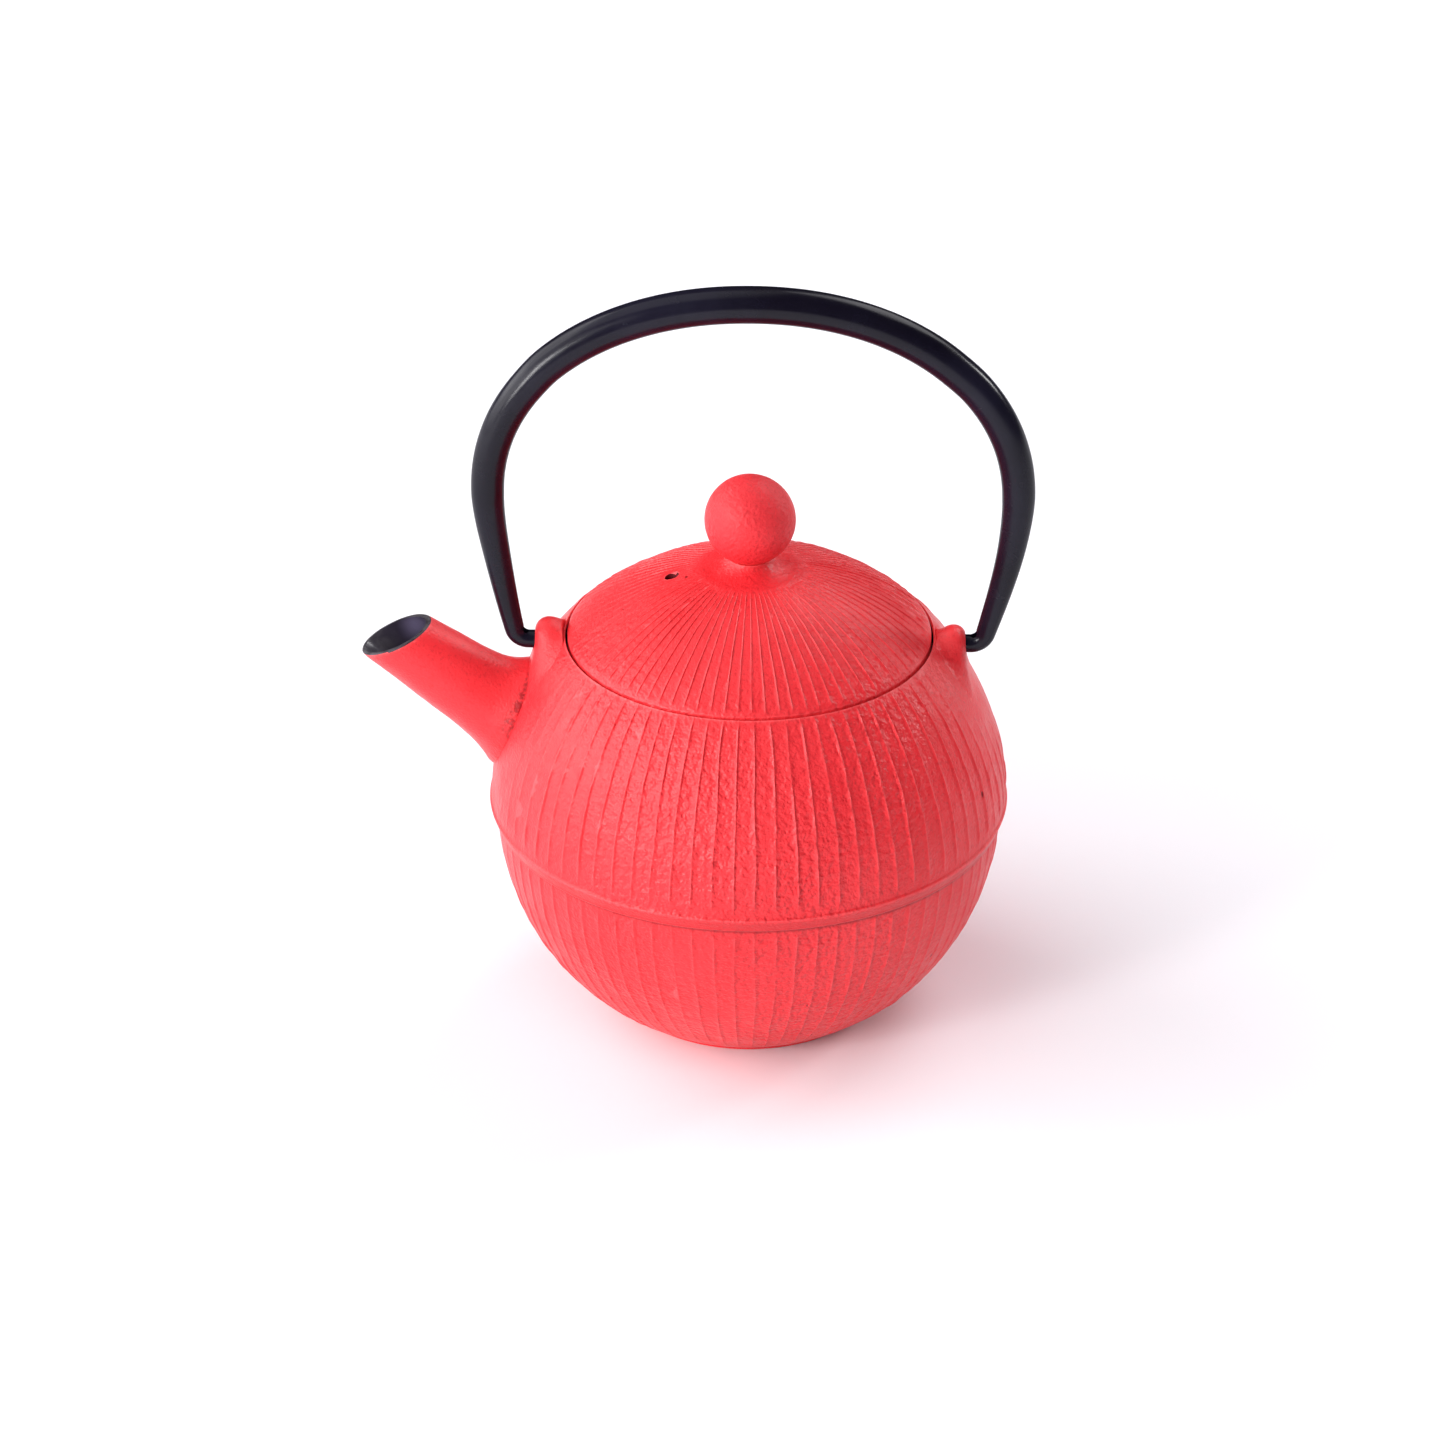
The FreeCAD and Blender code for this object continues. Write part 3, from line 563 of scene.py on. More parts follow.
def lug_mesh(side):
    """Lug with its fillets.  side is -1 over the spout."""
    axes = [np.arange(low, high, LUG_LATTICE_STEP) for low, high in LUG_LATTICE]
    x, y, z = np.meshgrid(*axes, indexing="ij")
    lug = surface_net("lug", [axes[0], axes[1], axes[2] + EQUATOR_Z], lug_field(x, y, z, side))
    if side < 0:
        lug.data.transform(Matrix.Scale(-1, 4, (1, 0, 0)))
        lug.data.flip_normals()
    return lug


def lug_hole(side):
    """Blind hole in a lug, with a slightly countersunk mouth."""
    angle, face = even_angles(40), LUG_FACE_X[side]
    outline = [(face + 2.0, LUG_HOLE_RADIUS + 0.5), (face + 0.1, LUG_HOLE_RADIUS + 0.35),
               (face - 0.3, LUG_HOLE_RADIUS), (LUG_HOLE_END_X, LUG_HOLE_RADIUS)]
    rings = []
    for x, radius in outline:
        across, up = radius * np.cos(angle), radius * np.sin(angle)
        rings.append(np.stack([np.full(len(angle), side * x), across, PIVOT_Z + up], -1))
    return bar("lug_hole", rings)


def face_middles(piece):
    return np.array([face.center for face in piece.data.polygons]) / MM


def paint_pot_faces(pot):
    """Slot 0 is the red coating, 1 the enamel, 2 the bare iron of the spout's rim."""
    middle = face_middles(pot)
    normal = np.array([face.normal for face in pot.data.polygons])
    from_centre = lengths(middle - CENTRE)
    reach = np.hypot(middle[:, 0], middle[:, 1])
    in_mouth = (from_centre < BALL_RADIUS - 1.0) & (reach < MOUTH_RADIUS + 0.1)
    in_cavity = from_centre < BALL_RADIUS - 2.2
    inside = (in_mouth | in_cavity) & (middle[:, 2] > FOOT_RECESS + 1.2)
    depth = (middle - SPOUT_TIP) @ SPOUT_IN
    off_axis = lengths(middle - SPOUT_TIP - np.outer(depth, SPOUT_IN))
    bore_radius = SPOUT_TIP_RADIUS - SPOUT_WALL + SPOUT_TAPER * depth
    in_bore = (depth > -9) & (depth < 34) & (off_axis < bore_radius + 0.12) & (middle[:, 0] < -40)
    on_rim = (np.abs((middle - SPOUT_TIP) @ SPOUT_CUT_NORMAL) < 0.30) & (middle[:, 0] < -60)
    on_rim &= normal @ SPOUT_CUT_NORMAL > 0.35
    index = np.zeros(len(middle), np.int32)
    index[inside | in_bore] = 1
    index[on_rim & ~in_bore] = 2
    pot.data.polygons.foreach_set("material_index", index)


def pot_body(paint, enamel, bare_iron):
    pot = shell_mesh()
    combine(pot, spout_mesh(), "UNION")
    for side in (-1, 1):
        combine(pot, lug_mesh(side), "UNION")
    combine(pot, spout_bore(), "DIFFERENCE")
    for side in (-1, 1):
        combine(pot, lug_hole(side), "DIFFERENCE")
    pot.name = "pot_body_visual"
    pot.data.materials.clear()
    paint_pot_faces(pot)
    return finished(pot, 42, paint, enamel, bare_iron)


# ---- lid ---------------------------------------------------------------------------------
LID_TURN = 0.37
LID_NOISE_PLACE = 200       # keeps the lid's ribs from swaying like the body's
LID_SAG = 0.8
LID_WALL = 3.0
LID_UNDER_RISE = 37.1
FLANGE_ROOT_RISE = 43.4
PAD_RISE = 52.0
FLANGE_IN, FLANGE_OUT = 28.8, 31.3
SCREW_HOLE_RADIUS = 2.8
NECK_RADIUS = 4.6
NECK_FOOT = 11.0
STEAM_HOLE_OFFSET = 16.8
KNOB_HOLE_RADIUS = 2.52
KNOB_HOLE_TOP = 1.5


def lid_top_rings():
    """Ribbed top of the lid, rim to neck.  It is cast a little flatter on the spout's side."""
    rim_angle = math.asin((LID_RADIUS - 0.42) / BALL_RADIUS)
    neck_angle = math.asin(NECK_FOOT / BALL_RADIUS)
    rings = []
    for angle in np.linspace(rim_angle, neck_angle, 46):
        radius = BALL_RADIUS * math.sin(angle)
        strength = smooth_step(BALL_RADIUS * (rim_angle - angle), -0.2, 1.2)
        strength *= smooth_step(radius, NECK_FOOT - 0.8, NECK_FOOT + 2.4)
        row = ball_row(BALL_RADIUS, EQUATOR_Z, angle, strength)
        ring = ribbed_ring(row, radius + LID_NOISE_PLACE, LID_TURN, lid_side_fade, LID_RIBS)
        bow = math.sin(math.pi * min((radius - NECK_FOOT) / (LID_RADIUS - NECK_FOOT), 1.0))
        ring[:, 2] -= LID_SAG * bow * (0.5 - 0.5 * ring[:, 0] / radius)
        rings.append(ring)
    return rings


def neck_rings():
    """Flared neck up to the knob's seat, then down the screw hole to the flat pad inside."""
    foot_z = EQUATOR_Z + math.sqrt(BALL_RADIUS ** 2 - (NECK_FOOT - 0.6) ** 2)
    top_z = KNOB_Z - math.sqrt(KNOB_RADIUS ** 2 - NECK_RADIUS ** 2) - 0.03
    start, end = np.array([NECK_FOOT - 0.6, foot_z]), np.array([NECK_RADIUS, top_z - 0.12])
    pull = np.array([NECK_RADIUS + 0.5, foot_z + 0.5])
    outline = []
    for share in np.linspace(0, 1, 12):
        outline.append(start * (1 - share) ** 2 + pull * 2 * share * (1 - share) + end * share ** 2)
    hole, pad_z = SCREW_HOLE_RADIUS, EQUATOR_Z + PAD_RISE
    seat_z = KNOB_Z - math.sqrt(KNOB_RADIUS ** 2 - hole ** 2) - 0.05
    outline += [(NECK_RADIUS - 0.25, top_z - 0.06), (hole, seat_z)]
    outline += [(hole, pad_z), (6.3, pad_z), (6.6, pad_z + 0.25)]
    return circles(outline, LID_COARSE)


def lid_under_rings():
    """Underside of the lid: inner dome, locating flange and flat rim."""
    inner = BALL_RADIUS - LID_WALL
    flange_z, rim_z = lid_low[2], EQUATOR_Z + LID_UNDER_RISE
    outline = []
    for angle in np.linspace(math.asin(7.0 / inner), math.asin((FLANGE_IN - 0.4) / inner), 16):
        outline.append((inner * math.sin(angle), EQUATOR_Z + inner * math.cos(angle)))
    outline += [(FLANGE_IN, EQUATOR_Z + FLANGE_ROOT_RISE)]
    outline += [(FLANGE_IN, flange_z + 0.5), (FLANGE_IN + 0.5, flange_z)]
    outline += [(FLANGE_OUT - 0.6, flange_z), (FLANGE_OUT, flange_z + 0.6), (FLANGE_OUT, rim_z - 0.2)]
    outline += [(FLANGE_OUT + 0.2, rim_z), (LID_RADIUS - 0.5, rim_z), (LID_RADIUS, rim_z + 0.35)]
    edge_z = EQUATOR_Z + math.sqrt(BALL_RADIUS ** 2 - LID_RADIUS ** 2)
    edge = [(0.0, 0.7), (0.0, 0.42), (0.06, 0.16), (0.2, 0.0)]
    angle, _ = rib_columns(LID_TURN, LID_NOISE_PLACE + LID_RADIUS, LID_RIBS)
    edge_rings = [level_ring(angle, LID_RADIUS - inset, edge_z - drop) for inset, drop in edge]
    return circles(outline, LID_COARSE) + edge_rings


def steam_hole():
    """Steam hole, a little wider at the top where the coating has softened its edge."""
    surface = EQUATOR_Z + math.sqrt(BALL_RADIUS ** 2 - STEAM_HOLE_OFFSET ** 2)
    outline = [(2.3, 1.6), (1.75, -0.15), (1.35, -0.65), (1.2, -8.0)]
    shift = np.array([-STEAM_HOLE_OFFSET, 0, 0])
    return bar("steam_hole", [circle(radius, surface + rise, 36) + shift for radius, rise in outline])


def lid_casting(paint, enamel, hole_wall):
    rings = lid_top_rings() + neck_rings() + lid_under_rings()
    lid = skin("lid_casting_visual", rings, loop=True)
    combine(lid, steam_hole(), "DIFFERENCE")
    lid.name = "lid_casting_visual"
    lid.data.materials.clear()
    middle = face_middles(lid)
    from_centre = lengths(middle - CENTRE)
    from_hole = np.hypot(middle[:, 0] + STEAM_HOLE_OFFSET, middle[:, 1])
    under = (from_centre < BALL_RADIUS - 1.2) & (np.hypot(middle[:, 0], middle[:, 1]) < LID_RADIUS - 0.1)
    index = under.astype(np.int32)
    # slot 2, the steam hole's wall, carries painted shade
    index[(from_hole < 1.65) & (from_centre < BALL_RADIUS - 0.7)] = 2
    lid.data.polygons.foreach_set("material_index", index)
    return finished(lid, 42, paint, enamel, hole_wall)


def lid_knob(paint):
    """Turned ball with a drilled underside; its surface wavers very slightly."""
    columns = 96
    hole_top = (0, 0, KNOB_Z + KNOB_HOLE_TOP)
    rings = [circle(KNOB_HOLE_RADIUS, KNOB_Z + rise, columns) for rise in (KNOB_HOLE_TOP, -6.0)]
    for angle in np.linspace(math.asin(KNOB_HOLE_RADIUS / KNOB_RADIUS), math.pi - 0.03, 60):
        ring = circle(KNOB_RADIUS * math.sin(angle), KNOB_Z - KNOB_RADIUS * math.cos(angle), columns)
        away = (ring - np.array([0, 0, KNOB_Z])) / KNOB_RADIUS
        waver = 0.05 * value_noise(ring / 6.0, 41) + 0.02 * value_noise(ring / 1.3, 42) - 0.03
        rings.append(ring + away * waver[:, None])
    crown = (0, 0, KNOB_Z + KNOB_RADIUS - 0.03)
    knob = skin("lid_knob_visual", rings, first_pole=hole_top, last_pole=crown)
    return finished(knob, 45, paint)


# ---- bail --------------------------------------------------------------------------------
BAIL_HALF_WIDTH = 56.1
BAIL_RISE = 44.0
BAIL_CROWN_RADIUS = 3.95
BAIL_SHOULDER_RADIUS = 3.5
BAIL_ANKLE_RADIUS = 2.1
BAIL_SEAM = 0.16            # half the seam's width along the legs and the arch
BAIL_SHOULDER_Z = bail_high[2] - BAIL_CROWN_RADIUS - BAIL_RISE
BAIL_ROUNDNESS = 2.1
BAIL_LEG_SLOPE = math.radians(14.4)
BAIL_BEND_RADIUS = 3.3
BAIL_TURN = math.pi / 2 - BAIL_LEG_SLOPE
BEND_END_X = LUG_FACE_X[1] + 0.8
HOOK_END_X = 41.9
HOOK_RADIUS = 1.95
BAIL_LEAN = 0.8
SHEET = 0.8


def bail_half_path():
    """(x, z, radius, seam half-width) from the hook's end to the crown, right-hand side."""
    path = []
    for x in np.linspace(HOOK_END_X, BEND_END_X, 8)[:-1]:
        open_seam = 0.12 + 0.25 * smooth_step(x, BEND_END_X - 1.6, BEND_END_X)
        path.append((x, PIVOT_Z, HOOK_RADIUS, float(open_seam)))
    for share in np.linspace(0, 1, 14):
        angle = BAIL_TURN * share
        x = BEND_END_X + BAIL_BEND_RADIUS * math.sin(angle)
        z = PIVOT_Z + BAIL_BEND_RADIUS * (1 - math.cos(angle))
        path.append((x, z, HOOK_RADIUS + 0.15 * share, 0.37 + 0.75 * math.sin(math.pi * share) ** 0.7))
    foot = np.array(path[-1][:2])
    shoulder = np.array([BAIL_HALF_WIDTH, BAIL_SHOULDER_Z])
    reach = (shoulder[1] - foot[1]) / 3
    first = foot + np.array([math.sin(BAIL_LEG_SLOPE), math.cos(BAIL_LEG_SLOPE)]) * reach
    second = shoulder - np.array([0, 0.75 * reach])
    for share in np.linspace(0, 1, 31)[1:]:
        rest = 1 - share
        place = foot * rest ** 3 + first * 3 * rest ** 2 * share
        place += second * 3 * rest * share ** 2 + shoulder * share ** 3
        climbed = (place[1] - foot[1]) / (shoulder[1] - foot[1])
        seam = BAIL_SEAM + 0.21 * math.exp(-share * 30)
        radius = BAIL_ANKLE_RADIUS + (BAIL_SHOULDER_RADIUS - BAIL_ANKLE_RADIUS) * climbed
        path.append((place[0], place[1], radius, seam))
    power = 2 / BAIL_ROUNDNESS
    for angle in np.linspace(0, math.pi / 2, 61)[1:]:
        x = BAIL_HALF_WIDTH * max(math.cos(angle), 0.0) ** power
        rise = math.sin(angle) ** power
        radius = BAIL_SHOULDER_RADIUS + (BAIL_CROWN_RADIUS - BAIL_SHOULDER_RADIUS) * rise
        path.append((x, BAIL_SHOULDER_Z + BAIL_RISE * rise, radius, BAIL_SEAM))
    return path


def bail_ring(place, along, radius, seam):
    """Section of the rolled sheet across the bail: outside, rolled lip, inside, lip."""
    inward = np.array([-along[2], 0.0, along[0]])
    sideways = np.array([0.0, 1.0, 0.0])
    start = math.asin(min(seam / radius, 0.9))
    inner = radius - SHEET
    turn_in = math.asin(min((seam + 0.05) / inner, 0.9))

    def arc(reach, first, last, count):
        angles = np.linspace(first, last, count)
        return [place + reach * (inward * math.cos(a) + sideways * math.sin(a)) for a in angles]

    def lip(side):
        depth = (radius - SHEET * 0.5) * math.cos(start * 0.8)
        return place + inward * depth + sideways * (side * (seam - 0.10))

    ring = arc(radius, start, 2 * math.pi - start, 41) + [lip(-1)]
    return np.array(ring + arc(inner, 2 * math.pi - turn_in, turn_in, 25) + [lip(1)])


def bail_handle(coat):
    half = bail_half_path()
    path = half + [(-x, z, radius, seam) for x, z, radius, seam in half[-2::-1]]
    centres = np.array([(x, 0.0, z) for x, z, _, _ in path])
    height = (centres[:, 2] - PIVOT_Z) / (bail_high[2] - PIVOT_Z)
    outside = smooth_step(np.abs(centres[:, 0]), HOOK_END_X, BEND_END_X)
    lean = smooth_step(height, -0.05, 0.3) * (1 - np.clip(height, 0, 1) ** 1.6)
    centres[:, 0] += BAIL_LEAN * outside * lean
    ways = unit(np.gradient(centres, axis=0))
    rings = [bail_ring(c, w, radius, seam) for c, w, (_, _, radius, seam) in zip(centres, ways, path)]
    bail = skin("bail_handle_visual", rings)
    shaped = bmesh.new()
    shaped.from_mesh(bail.data)
    open_edges = [edge for edge in shaped.edges if edge.is_boundary]
    bmesh.ops.edgeloop_fill(shaped, edges=open_edges)
    bmesh.ops.triangulate(shaped, faces=[face for face in shaped.faces if len(face.verts) > 4])
    bmesh.ops.recalc_face_normals(shaped, faces=shaped.faces)
    shaped.to_mesh(bail.data)
    shaped.free()
    return finished(bail, 50, coat)


# ---- strainer ----------------------------------------------------------------------------
GAUZE_PITCH = 1.5
WIRE = 0.16                 # half the wire's diagonal
WIRE_SIDES = 4
WEAVE_LIFT = WIRE * 0.8
RING_BORE = 29.5
PRESSED_SHEET = 0.5
TURNED_COLUMNS = 160


def wire(points, faces, path, closed):
    """Adds one square-section wire along a path to the growing point and face lists."""
    path = np.asarray(path)
    along = np.roll(path, -1, 0) - np.roll(path, 1, 0) if closed else np.gradient(path, axis=0)
    along = unit(along)
    helper = np.where(np.abs(along[:, 2:3]) > 0.8, [[1.0, 0.0, 0.0]], [[0.0, 0.0, 1.0]])
    side = unit(np.cross(along, helper))
    up = np.cross(side, along)
    start, count = len(points), len(path)
    for place, s, u in zip(path, side, up):
        for corner in range(WIRE_SIDES):
            angle = 2 * math.pi * (corner + 0.5) / WIRE_SIDES
            points.append((place + WIRE * (s * math.cos(angle) + u * math.sin(angle))).tolist())
    for i in range(count if closed else count - 1):
        for corner in range(WIRE_SIDES):
            other = (corner + 1) % WIRE_SIDES
            a, b = start + i * WIRE_SIDES, start + (i + 1) % count * WIRE_SIDES
            faces.append([a + corner, a + other, b + other, b + corner])
    if not closed:
        faces.append([start + corner for corner in range(WIRE_SIDES)])
        last = start + (count - 1) * WIRE_SIDES
        faces.append([last + corner for corner in range(WIRE_SIDES)][::-1])


def round_point(reach, angle, z):
    return reach * math.cos(angle), reach * math.sin(angle), z


def gauze_wall(steel):
    """Cylinder of plain-woven wire: hoops and uprights that pass over and under."""
    radius = wall_high[0] - 0.15
    uprights = 2 * int(math.pi * radius / GAUZE_PITCH)
    low, high = wall_low[2] + 0.2, wall_high[2] - 0.2
    hoops = int((high - low) / GAUZE_PITCH)
    points, faces = [], []
    for k in range(uprights):
        path = []
        for j in range(2 * hoops + 1):
            reach = radius + WEAVE_LIFT * math.sin(math.pi * (j / 2 + k + 0.5))
            z = low + (high - low) * j / (2 * hoops)
            path.append(round_point(reach, 2 * math.pi * k / uprights, z))
        wire(points, faces, path, False)
    for j in range(hoops):
        z = low + (high - low) * (j + 0.5) / hoops
        path = []
        for k in range(2 * uprights):
            reach = radius - WEAVE_LIFT * math.sin(math.pi * (k / 2 + j + 0.5))
            path.append(round_point(reach, math.pi * k / uprights, z))
        wire(points, faces, path, True)
    return finished(mesh("strainer_gauze_wall_visual", points, faces), 60, steel)


def gauze_floor(steel):
    """Disc of plain-woven wire, cut to a circle."""
    radius = floor_high[0] - 0.3
    middle = (floor_low[2] + floor_high[2]) / 2
    lines = int(2 * radius / GAUZE_PITCH)
    points, faces = [], []
    for turn, k in itertools.product((0, 1), range(lines)):
        offset = (k + 0.5 - lines / 2) * GAUZE_PITCH
        half = math.sqrt(max(radius ** 2 - offset ** 2, 0.0))
        if half < GAUZE_PITCH:
            continue
        steps = max(3, int(half * 4 / GAUZE_PITCH))
        path = []
        for along in np.linspace(-half, half, steps):
            weave = WEAVE_LIFT * math.sin(math.pi * (along / GAUZE_PITCH + k + turn))
            path.append((along, offset, middle + weave) if turn else (offset, along, middle + weave))
        wire(points, faces, path, False)
    return finished(mesh("strainer_gauze_floor_visual", points, faces), 60, steel)


def strainer_collar(steel):
    """Pressed ring: curled rim, flat, rolled bend and short wall, in sheet of even thickness."""
    rim, top = collar_high[0], collar_high[2]
    outer, inner, low = wall_high[0] + PRESSED_SHEET, wall_high[0], collar_low[2]
    outline = [(outer, low), (outer, top - 1.1), (outer + 0.25, top - 0.72), (outer + 0.7, top - 0.6)]
    outline += arc_points((rim - 0.3, top - 0.3), 0.3, -90, 90, 7)
    outline += [(rim - 0.9, top - 0.02), (rim - 1.3, top - 0.1), (outer + 0.9, top - 0.1)]
    outline += arc_points((inner + 1.0, top - 1.0), 1.0, 95, 180, 7)
    outline += [(inner, low + 0.4), (inner + 0.1, low)]
    return finished(turned("strainer_collar_visual", outline, TURNED_COLUMNS), 45, steel)


def strainer_bottom_ring(steel):
    """Pressed ring of L section with a rounded corner and a folded upper edge."""
    outer, top, low = ring_high[0], ring_high[2], ring_low[2]
    bore, sheet = RING_BORE, PRESSED_SHEET
    inner = outer - sheet
    outline = [(bore, low + 0.15), (bore + 0.2, low), (outer - 1.0, low)]
    outline += arc_points((outer - 1.0, low + 1.0), 1.0, -80, 0, 6)
    outline += [(outer, top - 0.25), (outer - 0.12, top), (inner + 0.1, top), (inner, top - 0.2)]
    outline += [(inner, low + 1.0), (inner - 0.15, low + sheet + 0.1), (inner - 0.5, low + sheet)]
    outline += [(bore + 0.2, low + sheet), (bore, low + sheet - 0.12)]
    return finished(turned("strainer_bottom_ring_visual", outline, TURNED_COLUMNS), 45, steel)


# ---- materials ---------------------------------------------------------------------------
class Nodes:
    """A material's node tree with short helpers."""

    def __init__(self, name):
        self.material = bpy.data.materials.new(name)
        self.material.use_nodes = True
        self.tree = self.material.node_tree
        self.place = self.add("ShaderNodeTexCoord").outputs["Object"]

    def add(self, kind, inputs=None, **settings):
        """New node; inputs go by name or number."""
        node = self.tree.nodes.new(kind)
        for key, value in settings.items():
            setattr(node, key, value)
        self.feed(node, inputs or {})
        return node

    def feed(self, node, inputs):
        """Puts numbers, colours or other nodes' outputs into a node."""
        for key, value in inputs.items():
            socket = node.inputs[key]
            if isinstance(value, bpy.types.NodeSocket):
                self.tree.links.new(value, socket)
            else:
                socket.default_value = (*value, 1) if socket.type == "RGBA" else value

    def noise(self, per_metre, detail=3.0, roughness=0.55, place=None):
        inputs = {"Vector": place or self.place, "Scale": per_metre}
        inputs |= {"Detail": detail, "Roughness": roughness}
        return self.add("ShaderNodeTexNoise", inputs).outputs["Fac"]

    def stretched(self, x, y, z):
        """Object coordinates scaled per axis; a small factor makes a pattern long that way."""
        inputs = {"Vector": self.place, "Scale": (x, y, z)}
        return self.add("ShaderNodeMapping", inputs).outputs["Vector"]

    def vector(self, operation, first, second=(0, 0, 0), output="Vector"):
        node = self.add("ShaderNodeVectorMath", {0: first, 1: second}, operation=operation)
        return node.outputs[output]

    def distance_from(self, point):
        """Distance to a point given in millimetres."""
        offset = self.vector("SUBTRACT", self.place, tuple(point * MM))
        return self.vector("LENGTH", offset, output="Value")

    def separate(self, first, axis):
        return self.add("ShaderNodeSeparateXYZ", {0: first}).outputs[axis]

    def remap(self, value, low, high, to_low=0, to_high=1):
        inputs = {"Value": value, "From Min": low, "From Max": high, "To Min": to_low, "To Max": to_high}
        return self.add("ShaderNodeMapRange", inputs, interpolation_type="SMOOTHSTEP").outputs["Result"]

    def band(self, value, rise, fall):
        """1 between two ramps, each given as (start, end) in millimetres, and 0 beyond them."""
        up = self.remap(value, rise[0] * MM, rise[1] * MM)
        return self.times(up, self.remap(value, fall[0] * MM, fall[1] * MM, 1, 0))

    def maths(self, operation, *values):
        return self.add("ShaderNodeMath", dict(enumerate(values)), operation=operation).outputs[0]

    def times(self, product, *others):
        for other in others:
            product = self.maths("MULTIPLY", product, other)
        return product

    def blend(self, share, first, second):
        inputs = {"Factor": share, "A": first, "B": second}
        return self.add("ShaderNodeMix", inputs, data_type="RGBA").outputs["Result"]

    def bump(self, height, distance, strength=1.0, below=None):
        inputs = {"Height": height, "Distance": distance, "Strength": strength}
        if below is not None:
            inputs["Normal"] = below
        return self.add("ShaderNodeBump", inputs).outputs["Normal"]

    def finish(self, **inputs):
        surface = self.tree.nodes["Principled BSDF"]
        self.feed(surface, {key.replace("_", " "): value for key, value in inputs.items()})
        return self.material


BELT_FOOT = EQUATOR_Z - BELT_FOOT_DROP - 0.1


def spout_root_line(n):
    """Rough casting line around the root of the spout, as a mask over the red coating."""
    tip = n.vector("SUBTRACT", n.place, tuple(SPOUT_TIP * MM))
    off_axis = n.vector("LENGTH", n.vector("CROSS_PRODUCT", tip, tuple(SPOUT_IN)), output="Value")
    across = n.maths("DIVIDE", n.vector("DOT_PRODUCT", tip, tuple(SPOUT_ACROSS), "Value"), off_axis)
    widest = (ROOT_LINE_RADIUS - ROOT_PINCH) * MM
    line = n.maths("MULTIPLY_ADD", across, ROOT_LINE_LEAN * MM, widest)
    fourth = n.maths("POWER", n.maths("ABSOLUTE", across), 4.0)
    line = n.maths("MULTIPLY_ADD", fourth, ROOT_PINCH * MM, line)
    beside = n.maths("ABSOLUTE", n.maths("SUBTRACT", off_axis, line))
    speck = n.remap(n.noise(1000, 2), 0.38, 0.62, 0.15, 0.9)
    behind = n.remap(n.separate(n.place, "X"), -0.046, -0.040, 1, 0)
    high = n.remap(n.separate(n.place, "Z"), 0.058, 0.075, 0.12, 1)
    return n.times(n.remap(beside, 0.0003, 0.0011, 1, 0), speck, behind, high)


def uneven_red(n, bright, deep):
    """Slightly uneven red, deeper in the grain.  Paler over raised edges as a painted highlight,
    and deeper in hollows as painted shade.
    """
    colour = n.blend(n.remap(n.noise(38), 0.35, 0.68), bright, deep)
    edge = n.add("ShaderNodeNewGeometry").outputs["Pointiness"]
    # painted highlight: paler red over raised edges
    colour = n.blend(n.remap(edge, 0.503, 0.56, 0, 0.45), colour, (0.97, 0.12, 0.13))
    # painted shade: deeper red in hollows
    colour = n.blend(n.remap(edge, 0.495, 0.43, 0, 0.35), colour, (0.42, 0.006, 0.010))
    return n.blend(n.remap(n.noise(1300), 0.53, 0.68, 0, 0.32), colour, (0.46, 0.007, 0.012))


def cast_red_coating():
    """Satin coral-red coating over cast iron.  The cast grain is weaker on the belt, the lugs
    and the spout; the belt is darker with painted shade and a painted shadow under its bead,
    the spout's root is darker along a rough casting line, and there are a few pinholes."""
    n = Nodes("red_coating")
    colour = uneven_red(n, (0.83, 0.029, 0.038), (0.77, 0.023, 0.031))
    root_line = spout_root_line(n)
    colour = n.blend(root_line, colour, (0.34, 0.004, 0.008))
    height = n.separate(n.place, "Z")
    aside = n.maths("ABSOLUTE", n.separate(n.place, "X"))
    # painted shade on the belt's face, which leans inwards and faces down
    on_belt = n.band(height, (BELT_FOOT - 0.35, BELT_FOOT + 0.1), (EQUATOR_Z - 0.1, EQUATOR_Z + 0.7))
    colour = n.blend(n.times(on_belt, 0.38), colour, (0.42, 0.010, 0.014))
    # painted shadow in the step under the belt's bead
    under_belt = n.band(height, (BELT_FOOT - 0.7, BELT_FOOT - 0.1), (BELT_FOOT + 0.1, BELT_FOOT + 0.6))
    colour = n.blend(n.times(under_belt, 0.5), colour, (0.26, 0.004, 0.008))
    pits = n.add("ShaderNodeTexVoronoi", {"Vector": n.stretched(1, 1, 0.4), "Scale": 300}).outputs
    chosen = n.maths("GREATER_THAN", n.separate(pits["Color"], "X"), 0.955)
    pinhole = n.times(n.remap(pits["Distance"], 0.05, 0.12, 1, 0), chosen)
    pinhole = n.maths("MAXIMUM", pinhole, n.times(root_line, 0.25))
    colour = n.blend(n.times(pinhole, 0.85), colour, (0.14, 0.002, 0.005))
    patch = n.times(
        n.remap(n.noise(30, 2), 0.36, 0.62, 0.5, 1),
        n.remap(n.distance_from(CENTRE), (BALL_RADIUS + 0.8) * MM, (BALL_RADIUS + 2.2) * MM, 1, 0.25),
        n.remap(height, 0.084, 0.096, 1, 0.35),     # up to the lid
        n.remap(aside, 0.026, 0.046, 1, 0.35),      # out to the lugs and the spout
        n.maths("SUBTRACT", 1.0, n.times(on_belt, 0.8)),
    )
    relief = n.bump(n.noise(380, 2), 0.00050, patch)
    relief = n.bump(n.noise(780, 1.5, 0.5), 0.00072, patch, relief)
    relief = n.bump(n.noise(1900, 2), 0.00015, 1.0, relief)
    relief = n.bump(n.times(pinhole, -1.0), 0.00022, 1.0, relief)
    rough = n.remap(n.noise(140), 0.3, 0.7, 0.33, 0.46)
    return n.finish(Base_Color=colour, Roughness=rough, Normal=relief, Specular_IOR_Level=0.38)


